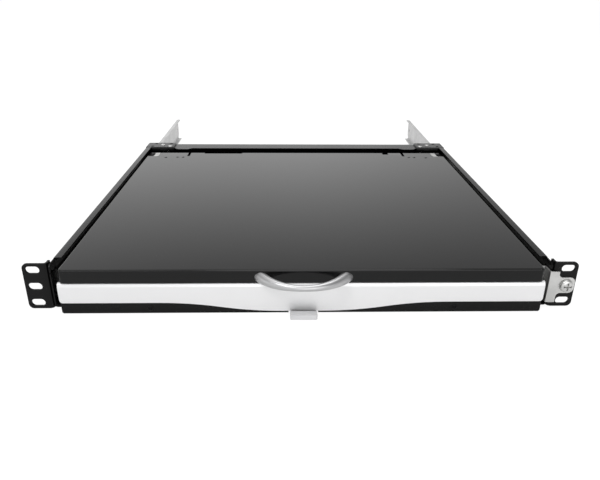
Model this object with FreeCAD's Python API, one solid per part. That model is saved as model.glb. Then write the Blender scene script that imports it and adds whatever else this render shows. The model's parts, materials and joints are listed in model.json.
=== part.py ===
import FreeCAD, Part
import math
import os

# Rack-mount LCD console, one rack unit high, in millimetres.
# X runs to the right, Y to the rear and Z up.
# The origin is the centre of the rack slots, on the front face of the ears.

# Rack mounting
rack_width = 482.6
unit_height = 43.6
slot_inset = 8.75
slot_rise = 31.75
slot_length = 12.0
slot_height = 6.8
ear_plate_width = 21.8
ear_thickness = 2.0
ear_bend = 1.5
ear_corner = 4.0
ear_flange_length = 46.0
ear_full_height_depth = 8.0
ear_flange_drop = 8.5
ear_flange_bevel = 4.0
ear_screw_depths = (20.0, 38.0)
ear_screw_lifts = (8.8, 25.8)

# Chassis
chassis_front = 2.0
chassis_top_gap = 0.8
sheet = 1.2
sheet_bend = 0.6
side_flange_width = 7.5
side_flange_front = 14.5
shoulder_drop = 9.0
shoulder_bevel = 3.5
rear_wall_gap = 34.0
rear_flange_widening = 5.5
widening_inset = 47.5
widening_width = 14.0
widening_slope = 6.0

# Rear corner gussets
gusset_width = 40.5
gusset_depth = 26.6
gusset_sheet = 1.6
gusset_lip = 5.0
gusset_bend = 0.4
gusset_bevel = 2.0
gusset_hole_radius = 2.3
gusset_hole_insets = ((11.5, 5.0), (33.5, 4.6), (8.5, 19.5))
gusset_screw_insets = ((22.5, 12.5), (34.5, 20.4))

# Rear rails
rail_inset = 9.5
rail_height = 35.0
rail_flange = 6.5
rail_sheet = 1.5
rail_bend = 0.8
rail_length = 178.0
rail_tongue = 5.0
rail_tongue_bevel = 4.0
rail_tongue_root = 12.0
rail_tongue_margin = 3.25
rail_hole_radius = 2.6
rail_hole_inset = 8.0
rail_foot_width = 24.0
rail_foot_height = 24.0
rail_screw_inset = 6.0
rail_screw_rise = 7.0

# Ball-bearing slides
slide_depth = 9.8
slide_height = 27.0
slide_lift = 17.3
slide_front = 16.0
slide_rear_gap = 12.0
slide_flange_depth = 8.0
slide_screw_inset = 64.0
outer_member_sheet = 1.2
middle_member_sheet = 1.0
middle_member_setback = 2.0
inner_member_front = 32.0
inner_member_rear_gap = 2.0
inner_screw_inset = 36.0
slide_bend = 0.4
ball_radius = 1.1
ball_clearance = 0.1
balls_per_row = 3
ball_end_gap = 10.0
outer_ball_depth = 5.0
inner_ball_depth = 6.0
cage_sheet = 0.4
cage_clearance = 0.3
cage_front = 115.0
cage_length = 170.0
cage_lip = 2.2

# Drawer
pan_front = -7.5
pan_wall_drop = 1.5
pan_floor_gap = 1.0
panel_sheet = 1.5
panel_overhang = 1.0
panel_corner = 1.2
panel_screw_x = 133.0
panel_screw_lift = 4.8
trim_overhang = 0.5
trim_sheet = 1.0
trim_gap = 0.4
trim_bend = 1.4
trim_return = 3.0
trim_belly_lift = 2.1
trim_wing_lift = 10.6
trim_wing_start = 125.0
trim_belly_half = 18.0
trim_corner = 3.0

# Lock bracket and its screw
bracket_sheet = 1.5
bracket_bend = 0.8
bracket_wall_gap = 0.6
bracket_strip_reach = 5.5
bracket_tongue_reach = 7.45
bracket_top = 13.5
bracket_bottom = -17.0
tongue_half_height = 7.7
tongue_fillet = 3.5
tongue_corner = 4.5
bracket_depth = 11.0
bracket_flange_rear = 30.0
bracket_screw_spots = ((16.0, 1.1), (25.0, -3.1))
lock_shank_length = 12.0
cross_length = 7.0
cross_width = 1.5
cross_depth = 2.0

# Release latch
tab_half_width = 11.8
tab_front = -22.0
tab_depth = 7.2
tab_lift = 0.2
tab_height = 4.6
tab_corner = 1.0
tab_overlap = 3.2
lever_sheet = 1.2
lever_bend = 0.4
lever_half_width = 11.0
lever_side_gap = 2.0
lever_lift = 1.0
lever_height_over_floor = 0.8
lever_joggle_front = -4.0
lever_joggle_rear = -0.5
lever_slot_rear = 7.0
lever_shoulder = 3.0
lever_neck_half = 4.5
lever_lug_y = 44.0
lever_lug_height = 14.6
latch_travel = 3.0
hook_pivot_height = 5.9
hook_arm = 8.0
hook_sheet = 2.0
hook_inner_x = 5.0
hook_pin_radius = 1.5
hook_tip_radius = 1.5
hook_boss = 3.5
hook_reach = 18.4
hook_width = 3.2
hook_nose_slope = 1.5
hook_lug_half = 5.0
hook_lug_bevel = 2.5
nose_slot_side_gap = 0.6
nose_slot_half = 5.0

# Keyboard deck and keys
deck_gap = 3.0
deck_sheet = 2.0
deck_bevel = 0.6
deck_skirt = 3.0
deck_rear_gap = 26.0
key_pitch = 18.6
key_gap = 1.4
key_taper = 1.3
key_drop = 1.5
key_height = 4.5
key_travel = 2.0
function_row_depth = 14.0
keypad_gap = 4.6
palm_rest_depth = 32.0
window_margin = 1.0
stem_size = 4.4
stem_length = 5.5
frame_sheet = 2.0
frame_rim = 2.0
frame_end_bar = 6.0
membrane_sheet = 0.6
base_sheet = 1.2
base_screw_inset = 8.0
touchpad_width = 66.0
touchpad_depth = 44.0
touchpad_sheet = 1.0
pad_corner = 1.0
pad_button_front = 26.0
pad_button_width = 31.0
pad_button_depth = 12.0
pad_button_gap = 2.0
pad_button_proud = 0.3
pad_button_flange = 0.6
pad_button_flange_sheet = 1.1
pad_row_gap = 4.0

# Boards
board_sheet = 1.6
control_board_left = -150.0
control_board_width = 200.0
control_board_depth = 64.0
control_board_rear_gap = 36.0
control_board_lift = 3.0
io_board_width = 120.0
io_board_depth = 23.8
io_board_rear_gap = 2.0
io_board_lift = 5.0
display_board_width = 200.0
display_board_depth = 28.0
display_board_rear_gap = 10.0
display_board_drop = 5.0
board_screw_inset = 10.0
chip_size = 16.0
chip_height = 2.0
chip_pitch = 44.0
header_length = 30.0
header_width = 8.0
header_height = 4.6
spacer_radius = 2.75

# Connectors of the rear wall
port_x = -30.0
port_lift = 12.6
port_shell_width = 16.6
port_shell_height = 8.0
port_shell_length = 5.0
port_shell_bevel = 1.4
port_body_width = 30.0
port_body_depth = 12.8
port_body_top = 6.0
port_wall_gap = 2.2
pin_pitch = 2.3
pin_row_pitch = 2.0
pin_row_shift = 0.55
pin_hole = 0.9
pin_hole_depth = 1.4
jack_x = 40.0
jack_radius = 5.0
jack_length = 1.5
jack_body = 11.0
jack_body_depth = 13.8
jack_bore_radius = 3.2
jack_bore_depth = 8.0
jack_pin_radius = 1.0

# Lid
lid_front = -10.0
lid_drop = 0.7
lid_height = 12.3
lid_side_gap = 0.3
lid_sheet = 1.2
lid_edge_round = 1.8
lid_corner = 4.0
lid_hinge_gap = 7.0
notch_side_gap = 1.5
notch_depth = 17.0
slit_x = 151.0
slit_width = 3.5
slit_depth = 18.0
recess_left = -130.0
recess_right = -77.0
recess_depth = 5.0
pocket_left = 123.0
pocket_right = 131.0
pocket_depth = 9.0
bezel_sheet = 2.0
bezel_rear_gap = 10.0
screen_width = 338.0
screen_depth = 270.4
screen_front = 26.0
screen_rear_room = 63.6
screen_slope = 1.6
screen_step = 0.4
glass_sheet = 0.6
glass_border = 5.0
module_border = 10.0
screen_button_width = 9.0
screen_button_depth = 6.0
screen_button_pitch = 16.0
screen_button_inset = 25.0
screen_button_travel = 0.8
screen_button_proud = 0.5
screen_button_height = 1.3
screen_button_flange = 1.0
screen_button_corner = 0.7
bumper_radius = 5.0
bumper_side_inset = 12.2
bumper_front_inset = 16.0
bumper_rear_inset = 60.0
cover_screw_insets = ((43.5, 6.4), (36.0, 6.4), (20.0, 8.0))

# Lid hinges
hinge_inset = 11.0
hinge_lift = 4.5
hinge_knuckle_radius = 5.2
hinge_pin_radius = 2.5
hinge_running_gap = 0.05
hinge_pin_end = 0.9
knuckle_gap = 0.6
arm_sheet = 1.5
arm_bend = 0.8
arm_knuckle_length = 6.5
arm_leaf_width = 41.5
arm_leaf_depth = 19.0
arm_leaf_bevel = 2.0
arm_step = 6.0
arm_step_start = 3.0
base_knuckle_length = 5.7
base_reach = 19.0
base_foot_gap = 2.0
base_slope_run = 8.0
base_screw_insets = (12.0, -4.0)
base_screw_lift = 7.4

# Handle
handle_half_span = 37.8
handle_reach = 19.2
handle_lift = 5.0
handle_middle_radius = 2.7
handle_foot_radius = 4.6
handle_sides = 12
handle_steps = 10
handle_screw_grip = 4.0

# Screws: radius of the shank, radius of the head and height of the head
LOCK_SCREW = (2.95, 6.0, 3.4)
EAR_SCREW = (2.0, 3.6, 1.6)
SLIDE_SCREW = (2.0, 3.2, 0.9)
GUSSET_SCREW = (2.0, 3.0, 1.0)
RAIL_SCREW = (2.0, 3.4, 1.8)
PANEL_SCREW = (1.5, 2.4, 0.7)
HINGE_SCREW = (1.5, 2.6, 1.2)
BRACKET_SCREW = (1.5, 2.8, 1.2)
HANDLE_SCREW = (1.6, 2.8, 1.8)
LEAF_SCREW = (1.2, 2.0, 0.35)
head_top_share = 0.7

# Clearances, and how far a cutter runs past what it cuts
running_gap = 0.3
fit_gap = 0.2
hole_gap = 0.1
past = 1.0

# Small round forms that don't show have this many flat sides
hidden_sides = 6
pad_sides = 8
plain_sides = 12
tight_bend = 1.1

# Places across the width
ear_inner = rack_width / 2 - ear_plate_width
slot_x = rack_width / 2 - slot_inset
chassis_inner = ear_inner - sheet
pan_half_width = chassis_inner - slide_depth
pan_inner = pan_half_width - sheet
panel_half_width = pan_half_width + panel_overhang
trim_half_width = panel_half_width + trim_overhang
lid_half_width = pan_half_width - lid_side_gap
gusset_inner = ear_inner - gusset_width
rail_outer = ear_inner - rail_inset
base_knuckle_inner = pan_inner - base_knuckle_length
arm_knuckle_outer = base_knuckle_inner - knuckle_gap
arm_knuckle_inner = arm_knuckle_outer - arm_knuckle_length
arm_leaf_inner = arm_knuckle_inner - arm_leaf_width
notch_inner = arm_knuckle_inner - notch_side_gap

# Places along the depth
touchpad_front = pad_button_front + pad_button_depth + pad_row_gap
keyboard_front = touchpad_front + touchpad_depth + palm_rest_depth
screen_rear = screen_front + screen_depth
lid_rear = screen_rear + screen_rear_room
notch_front = lid_rear - notch_depth
hinge_y = lid_rear + lid_hinge_gap
hinge_base_front = hinge_y - base_reach
pan_rear = hinge_y + hinge_inset
deck_rear = pan_rear - deck_rear_gap
chassis_rear = pan_rear + rear_wall_gap
rear_inner = chassis_rear - sheet
slide_rear = chassis_rear - slide_rear_gap
gusset_front = chassis_rear - gusset_depth
rear_flange_front = gusset_front + gusset_sheet + gusset_bend
panel_front = pan_front - panel_sheet
trim_front = panel_front - trim_sheet
tab_rear = tab_front + tab_depth
hook_pivot_y = lever_lug_y - lever_sheet / 2 - running_gap - hook_tip_radius
nose_y = hook_pivot_y + hook_reach
screen_button_y = lid_rear - screen_button_inset

# Heights
base_z = -unit_height / 2
chassis_top = unit_height / 2 - chassis_top_gap
rear_flange_top = chassis_top - gusset_sheet
floor_top = base_z + sheet
pan_floor_bottom = floor_top + pan_floor_gap
pan_floor_top = pan_floor_bottom + sheet
slide_centre_z = base_z + slide_lift
lid_top = chassis_top - lid_drop
lid_bottom = lid_top - lid_height
lid_inner_top = lid_top - lid_sheet
bezel_inner = lid_bottom + bezel_sheet
glass_back = bezel_inner + glass_sheet
trim_top = lid_bottom - trim_gap
trim_wing_bottom = base_z + trim_wing_lift
trim_belly_bottom = base_z + trim_belly_lift
pan_wall_top = lid_bottom - pan_wall_drop
deck_top = lid_bottom - deck_gap
deck_bottom = deck_top - deck_sheet
key_top = lid_bottom - key_drop
key_bottom = key_top - key_height
frame_top = key_bottom - key_travel - running_gap
frame_bottom = frame_top - frame_sheet
membrane_top = key_bottom - stem_length - key_travel - running_gap
base_top = membrane_top - membrane_sheet
base_bottom = base_top - base_sheet
lever_low_z = base_z + lever_lift
lever_high_z = pan_floor_top + lever_height_over_floor
lever_lug_top = lever_high_z + lever_lug_height
hook_pivot_z = pan_floor_top + hook_pivot_height
hinge_z = lid_bottom + hinge_lift
handle_z = lid_bottom + handle_lift
port_z = floor_top + port_lift
io_board_top = floor_top + io_board_lift + board_sheet

# Inside the slides: depths are taken inwards from the chassis wall, heights from the slide's middle
race = 2 * (ball_radius + ball_clearance)
outer_half = slide_height / 2
middle_half = outer_half - outer_member_sheet - race
inner_half = middle_half - middle_member_sheet - race
outer_race_height = middle_half + race / 2
inner_race_height = inner_half + race / 2
outer_cage_depth = outer_member_sheet + cage_clearance
middle_depth = outer_cage_depth + cage_sheet + cage_clearance
inner_cage_depth = middle_depth + middle_member_sheet + cage_clearance
inner_flange_depth = inner_cage_depth + cage_sheet + cage_clearance

MAIN_WIDTHS = {
    "key_row_function": [1] * 15,
    "key_row_number": [1] * 13 + [2],
    "key_row_upper": [1.5] + [1] * 12 + [1.5],
    "key_row_home": [1.75] + [1] * 11 + [2.25],
    "key_row_lower": [2.25] + [1] * 10 + [2.75],
    "key_row_space": [1.25] * 3 + [6.25] + [1.25] * 4,
}
KEYPAD_WIDTHS = {"key_row_space": [2, 1, 1]}
KEYPAD_COLUMNS = 4
ROWS_FROM_FRONT = list(reversed(list(MAIN_WIDTHS)))
keys_total_width = (15 + KEYPAD_COLUMNS) * key_pitch + keypad_gap
keys_depth = 5 * key_pitch + function_row_depth

X_AXIS = FreeCAD.Vector(1, 0, 0)
Y_AXIS = FreeCAD.Vector(0, 1, 0)
Z_AXIS = FreeCAD.Vector(0, 0, 1)


def point(x, y, z):
    return FreeCAD.Vector(x, y, z)


def block(x_low, x_high, y_low, y_high, z_low, z_high):
    """A box between two corners."""
    return Part.makeBox(x_high - x_low, y_high - y_low, z_high - z_low, point(x_low, y_low, z_low))


def rod(radius, start, end):
    """A round bar from one point to another."""
    direction = end - start
    return Part.makeCylinder(radius, direction.Length, start, direction)


def mirrored(shape):
    """The same shape on the other side of the middle."""
    return shape.mirror(point(0, 0, 0), X_AXIS)


def both(solid):
    """A piece and its mirror image."""
    return [solid, mirrored(solid)]


def in_plane(plane, u, v, level):
    """A point of a flat drawing, set at one level along the third axis."""
    if plane == "XZ":
        return point(u, level, v)
    if plane == "YZ":
        return point(level, u, v)
    return point(u, v, level)


def extruded(edges, plane, level, length):
    """A solid from a closed outline, drawn along the third axis from one level."""
    axis = {"XZ": Y_AXIS, "YZ": X_AXIS, "XY": Z_AXIS}[plane]
    outline = Part.Wire(Part.__sortEdges__(edges))
    return Part.Face(outline).extrude(axis * length)


def polygon_solid(corners, plane, level, length):
    """A prism over a polygon."""
    spots = [in_plane(plane, u, v, level) for u, v in corners]
    return extruded(Part.makePolygon(spots + [spots[0]]).Edges, plane, level, length)


def flat_loops(corners):
    """The four corners of a side as one loop, or as two triangles where they don't lie flat."""
    first, second, third, fourth = corners
    normal = (second - first).cross(third - first).normalize()
    if abs(normal.dot(fourth - first)) < 1e-6:
        return [corners]
    return [[first, second, third], [first, third, fourth]]


def stacked(rings):
    """A closed solid with flat sides through rings that have as many corners each."""
    loops = [list(reversed(rings[0])), rings[-1]]
    for low, high in zip(rings, rings[1:]):
        for index in range(len(low)):
            after = (index + 1) % len(low)
            loops += flat_loops([low[index], low[after], high[after], high[index]])
    faces = [Part.Face(Part.makePolygon(loop + [loop[0]])) for loop in loops]
    return Part.makeSolid(Part.makeShell(faces))


def ring(place, outward, height, radius, sides):
    """Corners of a regular outline round an axis, at a height along it."""
    turn = FreeCAD.Rotation(Z_AXIS, outward)
    corners = []
    for index in range(sides):
        angle = 2 * math.pi * (index + 0.5) / sides
        corners.append(place + turn.multVec(point(radius * math.cos(angle), radius * math.sin(angle),
                                                  height)))
    return corners


def prism(radius, start, end, sides=hidden_sides):
    """A bar with flat sides whose edges lie on the radius."""
    outward = end - start
    return stacked([ring(start, outward, 0, radius, sides), ring(start, outward, outward.Length, radius,
                                                                 sides)])


def around_round(radius):
    """Corner radius of a bore with flat sides that touch a round pin."""
    return radius / math.cos(math.pi / plain_sides)


def strip_side(path, side, half, centre_radius):
    """Corners of one side of a bent strip, where a bend has two flat steps, or one if it is tight."""
    steps = []
    for start, stop in zip(path, path[1:]):
        length = math.hypot(stop[0] - start[0], stop[1] - start[1])
        steps.append(((stop[0] - start[0]) / length, (stop[1] - start[1]) / length))
    corners = [(path[0][0] - side * half * steps[0][1], path[0][1] + side * half * steps[0][0])]
    for spot, before, after in zip(path[1:], steps, steps[1:]):
        cross = before[0] * after[1] - before[1] * after[0]
        turn = math.atan2(cross, before[0] * after[0] + before[1] * after[1])
        sign = math.copysign(1, turn)
        tangent = centre_radius * math.tan(abs(turn) / 2)
        centre_u = spot[0] - before[0] * tangent - before[1] * sign * centre_radius
        centre_v = spot[1] - before[1] * tangent + before[0] * sign * centre_radius
        radius = centre_radius - sign * side * half
        for share in (0, 1) if centre_radius < tight_bend else (0, 0.5, 1):
            angle = math.atan2(before[1], before[0]) + turn * share
            corners.append((centre_u + math.sin(angle) * sign * radius,
                            centre_v - math.cos(angle) * sign * radius))
    corners.append((path[-1][0] - side * half * steps[-1][1], path[-1][1] + side * half * steps[-1][0]))
    return corners


def bent_strip(path, thickness, inner_radius, plane, level, length):
    """Sheet of one thickness that follows a path through its middle."""
    half = thickness / 2
    near = strip_side(path, 1, half, inner_radius + half)
    far = strip_side(path, -1, half, inner_radius + half)
    return polygon_solid(near + far[::-1], plane, level, length)


def edges_along(shape, axis, test):
    """The straight edges that run along an axis and pass a test on their middle."""
    picked = []
    for edge in shape.Edges:
        if isinstance(edge.Curve, Part.Line) and abs(edge.Curve.Direction.dot(axis)) > 0.999:
            if test(edge.CenterOfMass):
                picked.append(edge)
    return picked


def rounded(shape, radius, axis, test=lambda middle: True):
    """The shape with the picked edges made round."""
    return shape.makeFillet(radius, edges_along(shape, axis, test))


def bevelled(shape, size, axis, test=lambda middle: True):
    """The shape with the picked edges cut off at 45 degrees."""
    return shape.makeChamfer(size, edges_along(shape, axis, test))


def corner_cutter(x, z, radius, sign_x, sign_z, level, length):
    """What comes off one corner of an upright plate to leave it round, in three flat steps."""
    outline = [(x + sign_x, z + sign_z), (x + sign_x, z - sign_z * radius)]
    for degrees in (0, 30, 60, 90):
        angle = math.radians(degrees)
        outline.append((x - sign_x * radius * (1 - math.cos(angle)),
                        z - sign_z * radius * (1 - math.sin(angle))))
    outline.append((x - sign_x * radius, z + sign_z))
    return polygon_solid(outline, "XZ", level, length)


def slot_cutter(x, z, length, height):
    """A slot through an ear, with round ends."""
    half = (length - height) / 2
    reach = ear_thickness * 2
    bar = block(x - half, x + half, -reach, reach, z - height / 2, z + height / 2)
    for end in (x - half, x + half):
        bar = bar.fuse(rod(height / 2, point(end, -reach, z), point(end, reach, z)))
    return bar.removeSplitter()


def plain_slot_cutter(x, z, length, height):
    """The same slot with flat steps for ends."""
    corners = []
    for end, start in ((1, -90), (-1, 90)):
        for step in range(5):
            angle = math.radians(start + 45 * step)
            corners.append((x + end * (length - height) / 2 + height / 2 * math.cos(angle),
                            z + height / 2 * math.sin(angle)))
    return polygon_solid(corners, "XZ", -ear_thickness, 3 * ear_thickness)


def pan_head_screw(place, outward, size, grip, sides=hidden_sides):
    """A screw whose head sits on a face, with a sloped rim and a plain shank."""
    shank_radius, head_radius, head_height = size
    levels = ((-grip, shank_radius), (0, shank_radius), (0, head_radius),
              (head_height, head_radius * head_top_share))
    return stacked([ring(place, outward, height, radius, sides) for height, radius in levels])


class Fasteners:
    """The screws of one body: where each one sits, and the holes that they need."""

    def __init__(self):
        self.solids = []
        self.holes = []

    def add(self, place, outward, size, grip):
        """A screw with its head at a place. The hole runs on past both ends of the grip."""
        self.solids.append(pan_head_screw(place, outward, size, grip))
        rings = [ring(place, outward, height, size[0] + hole_gap, hidden_sides)
                 for height in (-grip - hole_gap, hole_gap)]
        self.holes.append(stacked(rings))

    def add_spacer(self, x, y, z_low, z_high):
        """A hexagonal spacer between two flat faces."""
        self.solids.append(prism(spacer_radius, point(x, y, z_low), point(x, y, z_high), 6))

    def drill(self, shape):
        """The shape with a hole wherever one of the screws passes."""
        return shape.cut(Part.Compound(self.holes))


chassis_fasteners = Fasteners()
drawer_fasteners = Fasteners()
lid_fasteners = Fasteners()


def place_chassis_screws(side):
    """Screws of the ears, the slides, the gussets and the rear rails, on one side."""
    out = X_AXIS * side
    for depth, lift in zip(ear_screw_depths, ear_screw_lifts):
        place = point(side * (ear_inner + ear_thickness), depth, base_z + lift)
        chassis_fasteners.add(place, out, EAR_SCREW, ear_thickness + sheet - hole_gap)
    for y in (slide_front + slide_screw_inset, slide_rear - slide_screw_inset):
        place = point(side * ear_inner, y, slide_centre_z)
        chassis_fasteners.add(place, out, SLIDE_SCREW, sheet + outer_member_sheet)
    for across, along in gusset_screw_insets:
        place = point(side * (ear_inner - across), chassis_rear - along, chassis_top)
        chassis_fasteners.add(place, Z_AXIS, GUSSET_SCREW, gusset_sheet + sheet)
    for z in (-rail_screw_rise, rail_screw_rise):
        place = point(side * (rail_outer - rail_foot_width + rail_screw_inset), chassis_rear + rail_sheet, z)
        chassis_fasteners.add(place, Y_AXIS, RAIL_SCREW, rail_sheet + sheet)


def place_drawer_screws(side):
    """Screws of the front panel, the slides and the hinges, and the keyboard's spacers, on one side."""
    out = X_AXIS * side
    place = point(side * panel_screw_x, panel_front, base_z + panel_screw_lift)
    drawer_fasteners.add(place, -Y_AXIS, PANEL_SCREW, panel_sheet + sheet)
    for y in (inner_member_front + inner_screw_inset, pan_rear - inner_member_rear_gap - inner_screw_inset):
        place = point(side * pan_inner, y, slide_centre_z)
        drawer_fasteners.add(place, -out, SLIDE_SCREW, sheet + outer_member_sheet)
    for inset in base_screw_insets:
        place = point(side * (pan_inner - arm_sheet), hinge_y - inset, pan_floor_top + base_screw_lift)
        drawer_fasteners.add(place, -out, HINGE_SCREW, arm_sheet + sheet)
    x = keys_total_width / 2 - base_screw_inset
    for y in (keyboard_front + base_screw_inset, keyboard_front + keys_depth - base_screw_inset):
        drawer_fasteners.add_spacer(side * x, y, pan_floor_top, base_bottom)


def place_lid_screws(side):
    """Screws of the handle and the hinge leaf, and a spacer of the display board, on one side."""
    place = point(side * handle_half_span, lid_front + lid_sheet, handle_z)
    lid_fasteners.add(place, Y_AXIS, HANDLE_SCREW, handle_screw_grip)
    for across, along in cover_screw_insets:
        place = point(side * (arm_knuckle_outer - across), notch_front - along, lid_top)
        lid_fasteners.add(place, Z_AXIS, LEAF_SCREW, lid_sheet + arm_sheet)
    x = side * (display_board_width / 2 - board_screw_inset)
    lid_fasteners.add_spacer(x, lid_rear - display_board_rear_gap - spacer_radius,
                             lid_inner_top - display_board_drop,
                             lid_inner_top)


def place_screws():
    """Every screw and spacer of the three large bodies."""
    for side in (-1, 1):
        place_chassis_screws(side)
        place_drawer_screws(side)
        place_lid_screws(side)
        x = side * (io_board_width / 2 - board_screw_inset)
        chassis_fasteners.add_spacer(x, rear_inner - io_board_rear_gap - io_board_depth / 2, floor_top,
                                     floor_top + io_board_lift)
    for depth, lift in bracket_screw_spots:
        place = point(pan_inner, depth, slide_centre_z + lift)
        drawer_fasteners.add(place, -X_AXIS, BRACKET_SCREW, sheet + bracket_sheet)
    board_rear = pan_rear - control_board_rear_gap
    for x in (control_board_left + board_screw_inset,
              control_board_left + control_board_width - board_screw_inset):
        for y in (board_rear - control_board_depth + board_screw_inset, board_rear - board_screw_inset):
            drawer_fasteners.add_spacer(x, y, pan_floor_top, pan_floor_top + control_board_lift)


def chassis_tray():
    """Folded tray: floor, two sides with top flanges, and a rear wall with its own flange."""
    side_x = ear_inner - sheet / 2
    flange_x = ear_inner - side_flange_width
    top = chassis_top - sheet / 2
    bottom = base_z + sheet / 2
    path = [(-flange_x, top), (-side_x, top), (-side_x, bottom), (side_x, bottom), (side_x, top),
            (flange_x, top)]
    tray = bent_strip(path, sheet, sheet_bend, "XZ", chassis_front, chassis_rear - chassis_front)
    flange_z = rear_flange_top - sheet / 2
    wall_y = chassis_rear - sheet / 2
    wall = bent_strip([(rear_flange_front, flange_z), (wall_y, flange_z), (wall_y, base_z)], sheet,
                      sheet_bend, "YZ",
                      -side_x, 2 * side_x)

    shoulder = block(-rack_width, rack_width, 0, side_flange_front, chassis_top - shoulder_drop,
                     chassis_top + past)
    shoulder = bevelled(shoulder, shoulder_bevel, X_AXIS, lambda m: m.y > 1 and m.z < chassis_top)
    rear_step = block(-rack_width, rack_width, gusset_front, chassis_rear + past, rear_flange_top,
                      chassis_top + past)
    tray = tray.cut(shoulder).cut(rear_step).fuse(wall)

    outer_x = ear_inner - widening_inset
    inner_x = outer_x - widening_width
    front_y = rear_flange_front - rear_flange_widening
    for side in (-1, 1):
        corners = [(side * (inner_x - widening_slope), rear_flange_front + past),
                   (side * (inner_x - widening_slope), rear_flange_front),
                   (side * inner_x, front_y),
                   (side * outer_x, front_y),
                   (side * (outer_x + widening_slope), rear_flange_front),
                   (side * (outer_x + widening_slope), rear_flange_front + past)]
        tray = tray.fuse(polygon_solid(corners, "XY", rear_flange_top - sheet, sheet))

    strike = block(hook_inner_x - nose_slot_side_gap, hook_inner_x + hook_sheet + nose_slot_side_gap,
                   nose_y - nose_slot_half, nose_y + nose_slot_half, base_z - past, floor_top + past)
    port_hole = block(port_x - port_shell_width / 2 - port_wall_gap,
                      port_x + port_shell_width / 2 + port_wall_gap,
                      rear_inner - past, chassis_rear + past, port_z - port_shell_height / 2 - past,
                      port_z + port_shell_height / 2 + past)
    jack_hole = prism(jack_radius + running_gap, point(jack_x, rear_inner - past, port_z),
                      point(jack_x, chassis_rear + past, port_z), plain_sides)
    tray = tray.cut(Part.Compound([strike, port_hole, jack_hole]))
    return chassis_fasteners.drill(tray).removeSplitter()


def ear():
    """Right-hand rack ear: slotted plate in front, flange folded back along the chassis side."""
    flange_x = ear_inner + ear_thickness / 2
    path = [(rack_width / 2, ear_thickness / 2), (flange_x, ear_thickness / 2), (flange_x, ear_flange_length)]
    plate = bent_strip(path, ear_thickness, ear_bend, "XY", base_z, unit_height)
    flange_top = chassis_top - ear_flange_drop
    step = block(ear_inner - past, ear_inner + ear_thickness + past, ear_full_height_depth,
                 ear_flange_length + past,
                 flange_top, unit_height)
    plate = plate.cut(step)
    plate = bevelled(plate, ear_flange_bevel, X_AXIS, lambda m: m.y > ear_flange_length - 0.1)
    cutters = [plain_slot_cutter(slot_x, 0, slot_length, slot_height)]
    for sign in (-1, 1):
        cutters.append(corner_cutter(rack_width / 2, -sign * base_z, ear_corner, 1, sign, -1,
                                     2 * ear_thickness))
        cutters.append(slot_cutter(slot_x, sign * slot_rise / 2, slot_length, slot_height))
    return chassis_fasteners.drill(plate.cut(Part.Compound(cutters)))


def gusset():
    """Right-hand rear corner plate with a lip folded down at its front."""
    z = chassis_top - gusset_sheet / 2
    front = gusset_front + gusset_sheet / 2
    path = [(chassis_rear, z), (front, z), (front, chassis_top - gusset_lip)]
    plate = bent_strip(path, gusset_sheet, gusset_bend, "YZ", gusset_inner, gusset_width)
    side_gap = block(chassis_inner - side_flange_width, ear_inner + past, gusset_front - past,
                     rear_flange_front,
                     chassis_top - gusset_lip - past, rear_flange_top)
    plate = plate.cut(side_gap)
    plate = bevelled(plate, gusset_bevel, Z_AXIS,
                     lambda m: m.x < gusset_inner + 0.1 and m.y > chassis_rear - 0.1)
    holes = []
    for across, along in gusset_hole_insets:
        x = ear_inner - across
        y = chassis_rear - along
        holes.append(prism(gusset_hole_radius, point(x, y, chassis_top - gusset_lip),
                           point(x, y, chassis_top + past),
                           plain_sides))
    return chassis_fasteners.drill(plate.cut(Part.Compound(holes)))


def rear_rail():
    """Right-hand rear support rail: a channel open to the middle, with a foot on the rear wall."""
    web_x = rail_outer - rail_sheet / 2
    z = rail_height / 2 - rail_sheet / 2
    path = [(rail_outer - rail_flange, z), (web_x, z), (web_x, -z), (rail_outer - rail_flange, -z)]
    rail = bent_strip(path, rail_sheet, rail_bend, "XZ", chassis_rear, rail_length)
    rail_end = chassis_rear + rail_length
    tongue_half = z - rail_tongue_margin
    tongue = block(rail_outer - rail_sheet, rail_outer, rail_end - rail_tongue_root, rail_end + rail_tongue,
                   -tongue_half, tongue_half)
    tongue = bevelled(tongue, rail_tongue_bevel, X_AXIS, lambda m: m.y > rail_end)
    foot = block(rail_outer - rail_foot_width, rail_outer - rail_sheet, chassis_rear,
                 chassis_rear + rail_sheet,
                 -rail_foot_height / 2, rail_foot_height / 2)
    hole_y = rail_end - rail_hole_inset
    hole = rod(rail_hole_radius, point(rail_outer - rail_sheet - past, hole_y, 0),
               point(rail_outer + past, hole_y, 0))
    return chassis_fasteners.drill(rail.fuse([tongue, foot]).cut(hole)).removeSplitter()


def channel(web_depth, flange_depth, half_height, thickness, y_front, y_rear):
    """Right-hand channel of a slide, from the depths of its web's middle and of its flange's end."""
    web_x = chassis_inner - web_depth
    flange_x = chassis_inner - flange_depth
    z = half_height - thickness / 2
    path = [(flange_x, slide_centre_z + z), (web_x, slide_centre_z + z),
            (web_x, slide_centre_z - z), (flange_x, slide_centre_z - z)]
    return bent_strip(path, thickness, slide_bend, "XZ", y_front, y_rear - y_front)


def slide_outer():
    """Outer member, screwed to the chassis wall."""
    member = channel(outer_member_sheet / 2, slide_flange_depth, outer_half, outer_member_sheet,
                     slide_front, slide_rear)
    return chassis_fasteners.drill(member)


def slide_middle():
    """Middle member, which runs between the other two."""
    return channel(middle_depth + middle_member_sheet / 2, slide_flange_depth, middle_half,
                   middle_member_sheet,
                   slide_front + middle_member_setback, slide_rear - middle_member_setback)


def slide_inner():
    """Inner member, screwed to the drawer side."""
    member = channel(slide_depth - outer_member_sheet / 2, inner_flange_depth, inner_half, outer_member_sheet,
                     inner_member_front, pan_rear - inner_member_rear_gap)
    return drawer_fasteners.drill(member)


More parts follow.
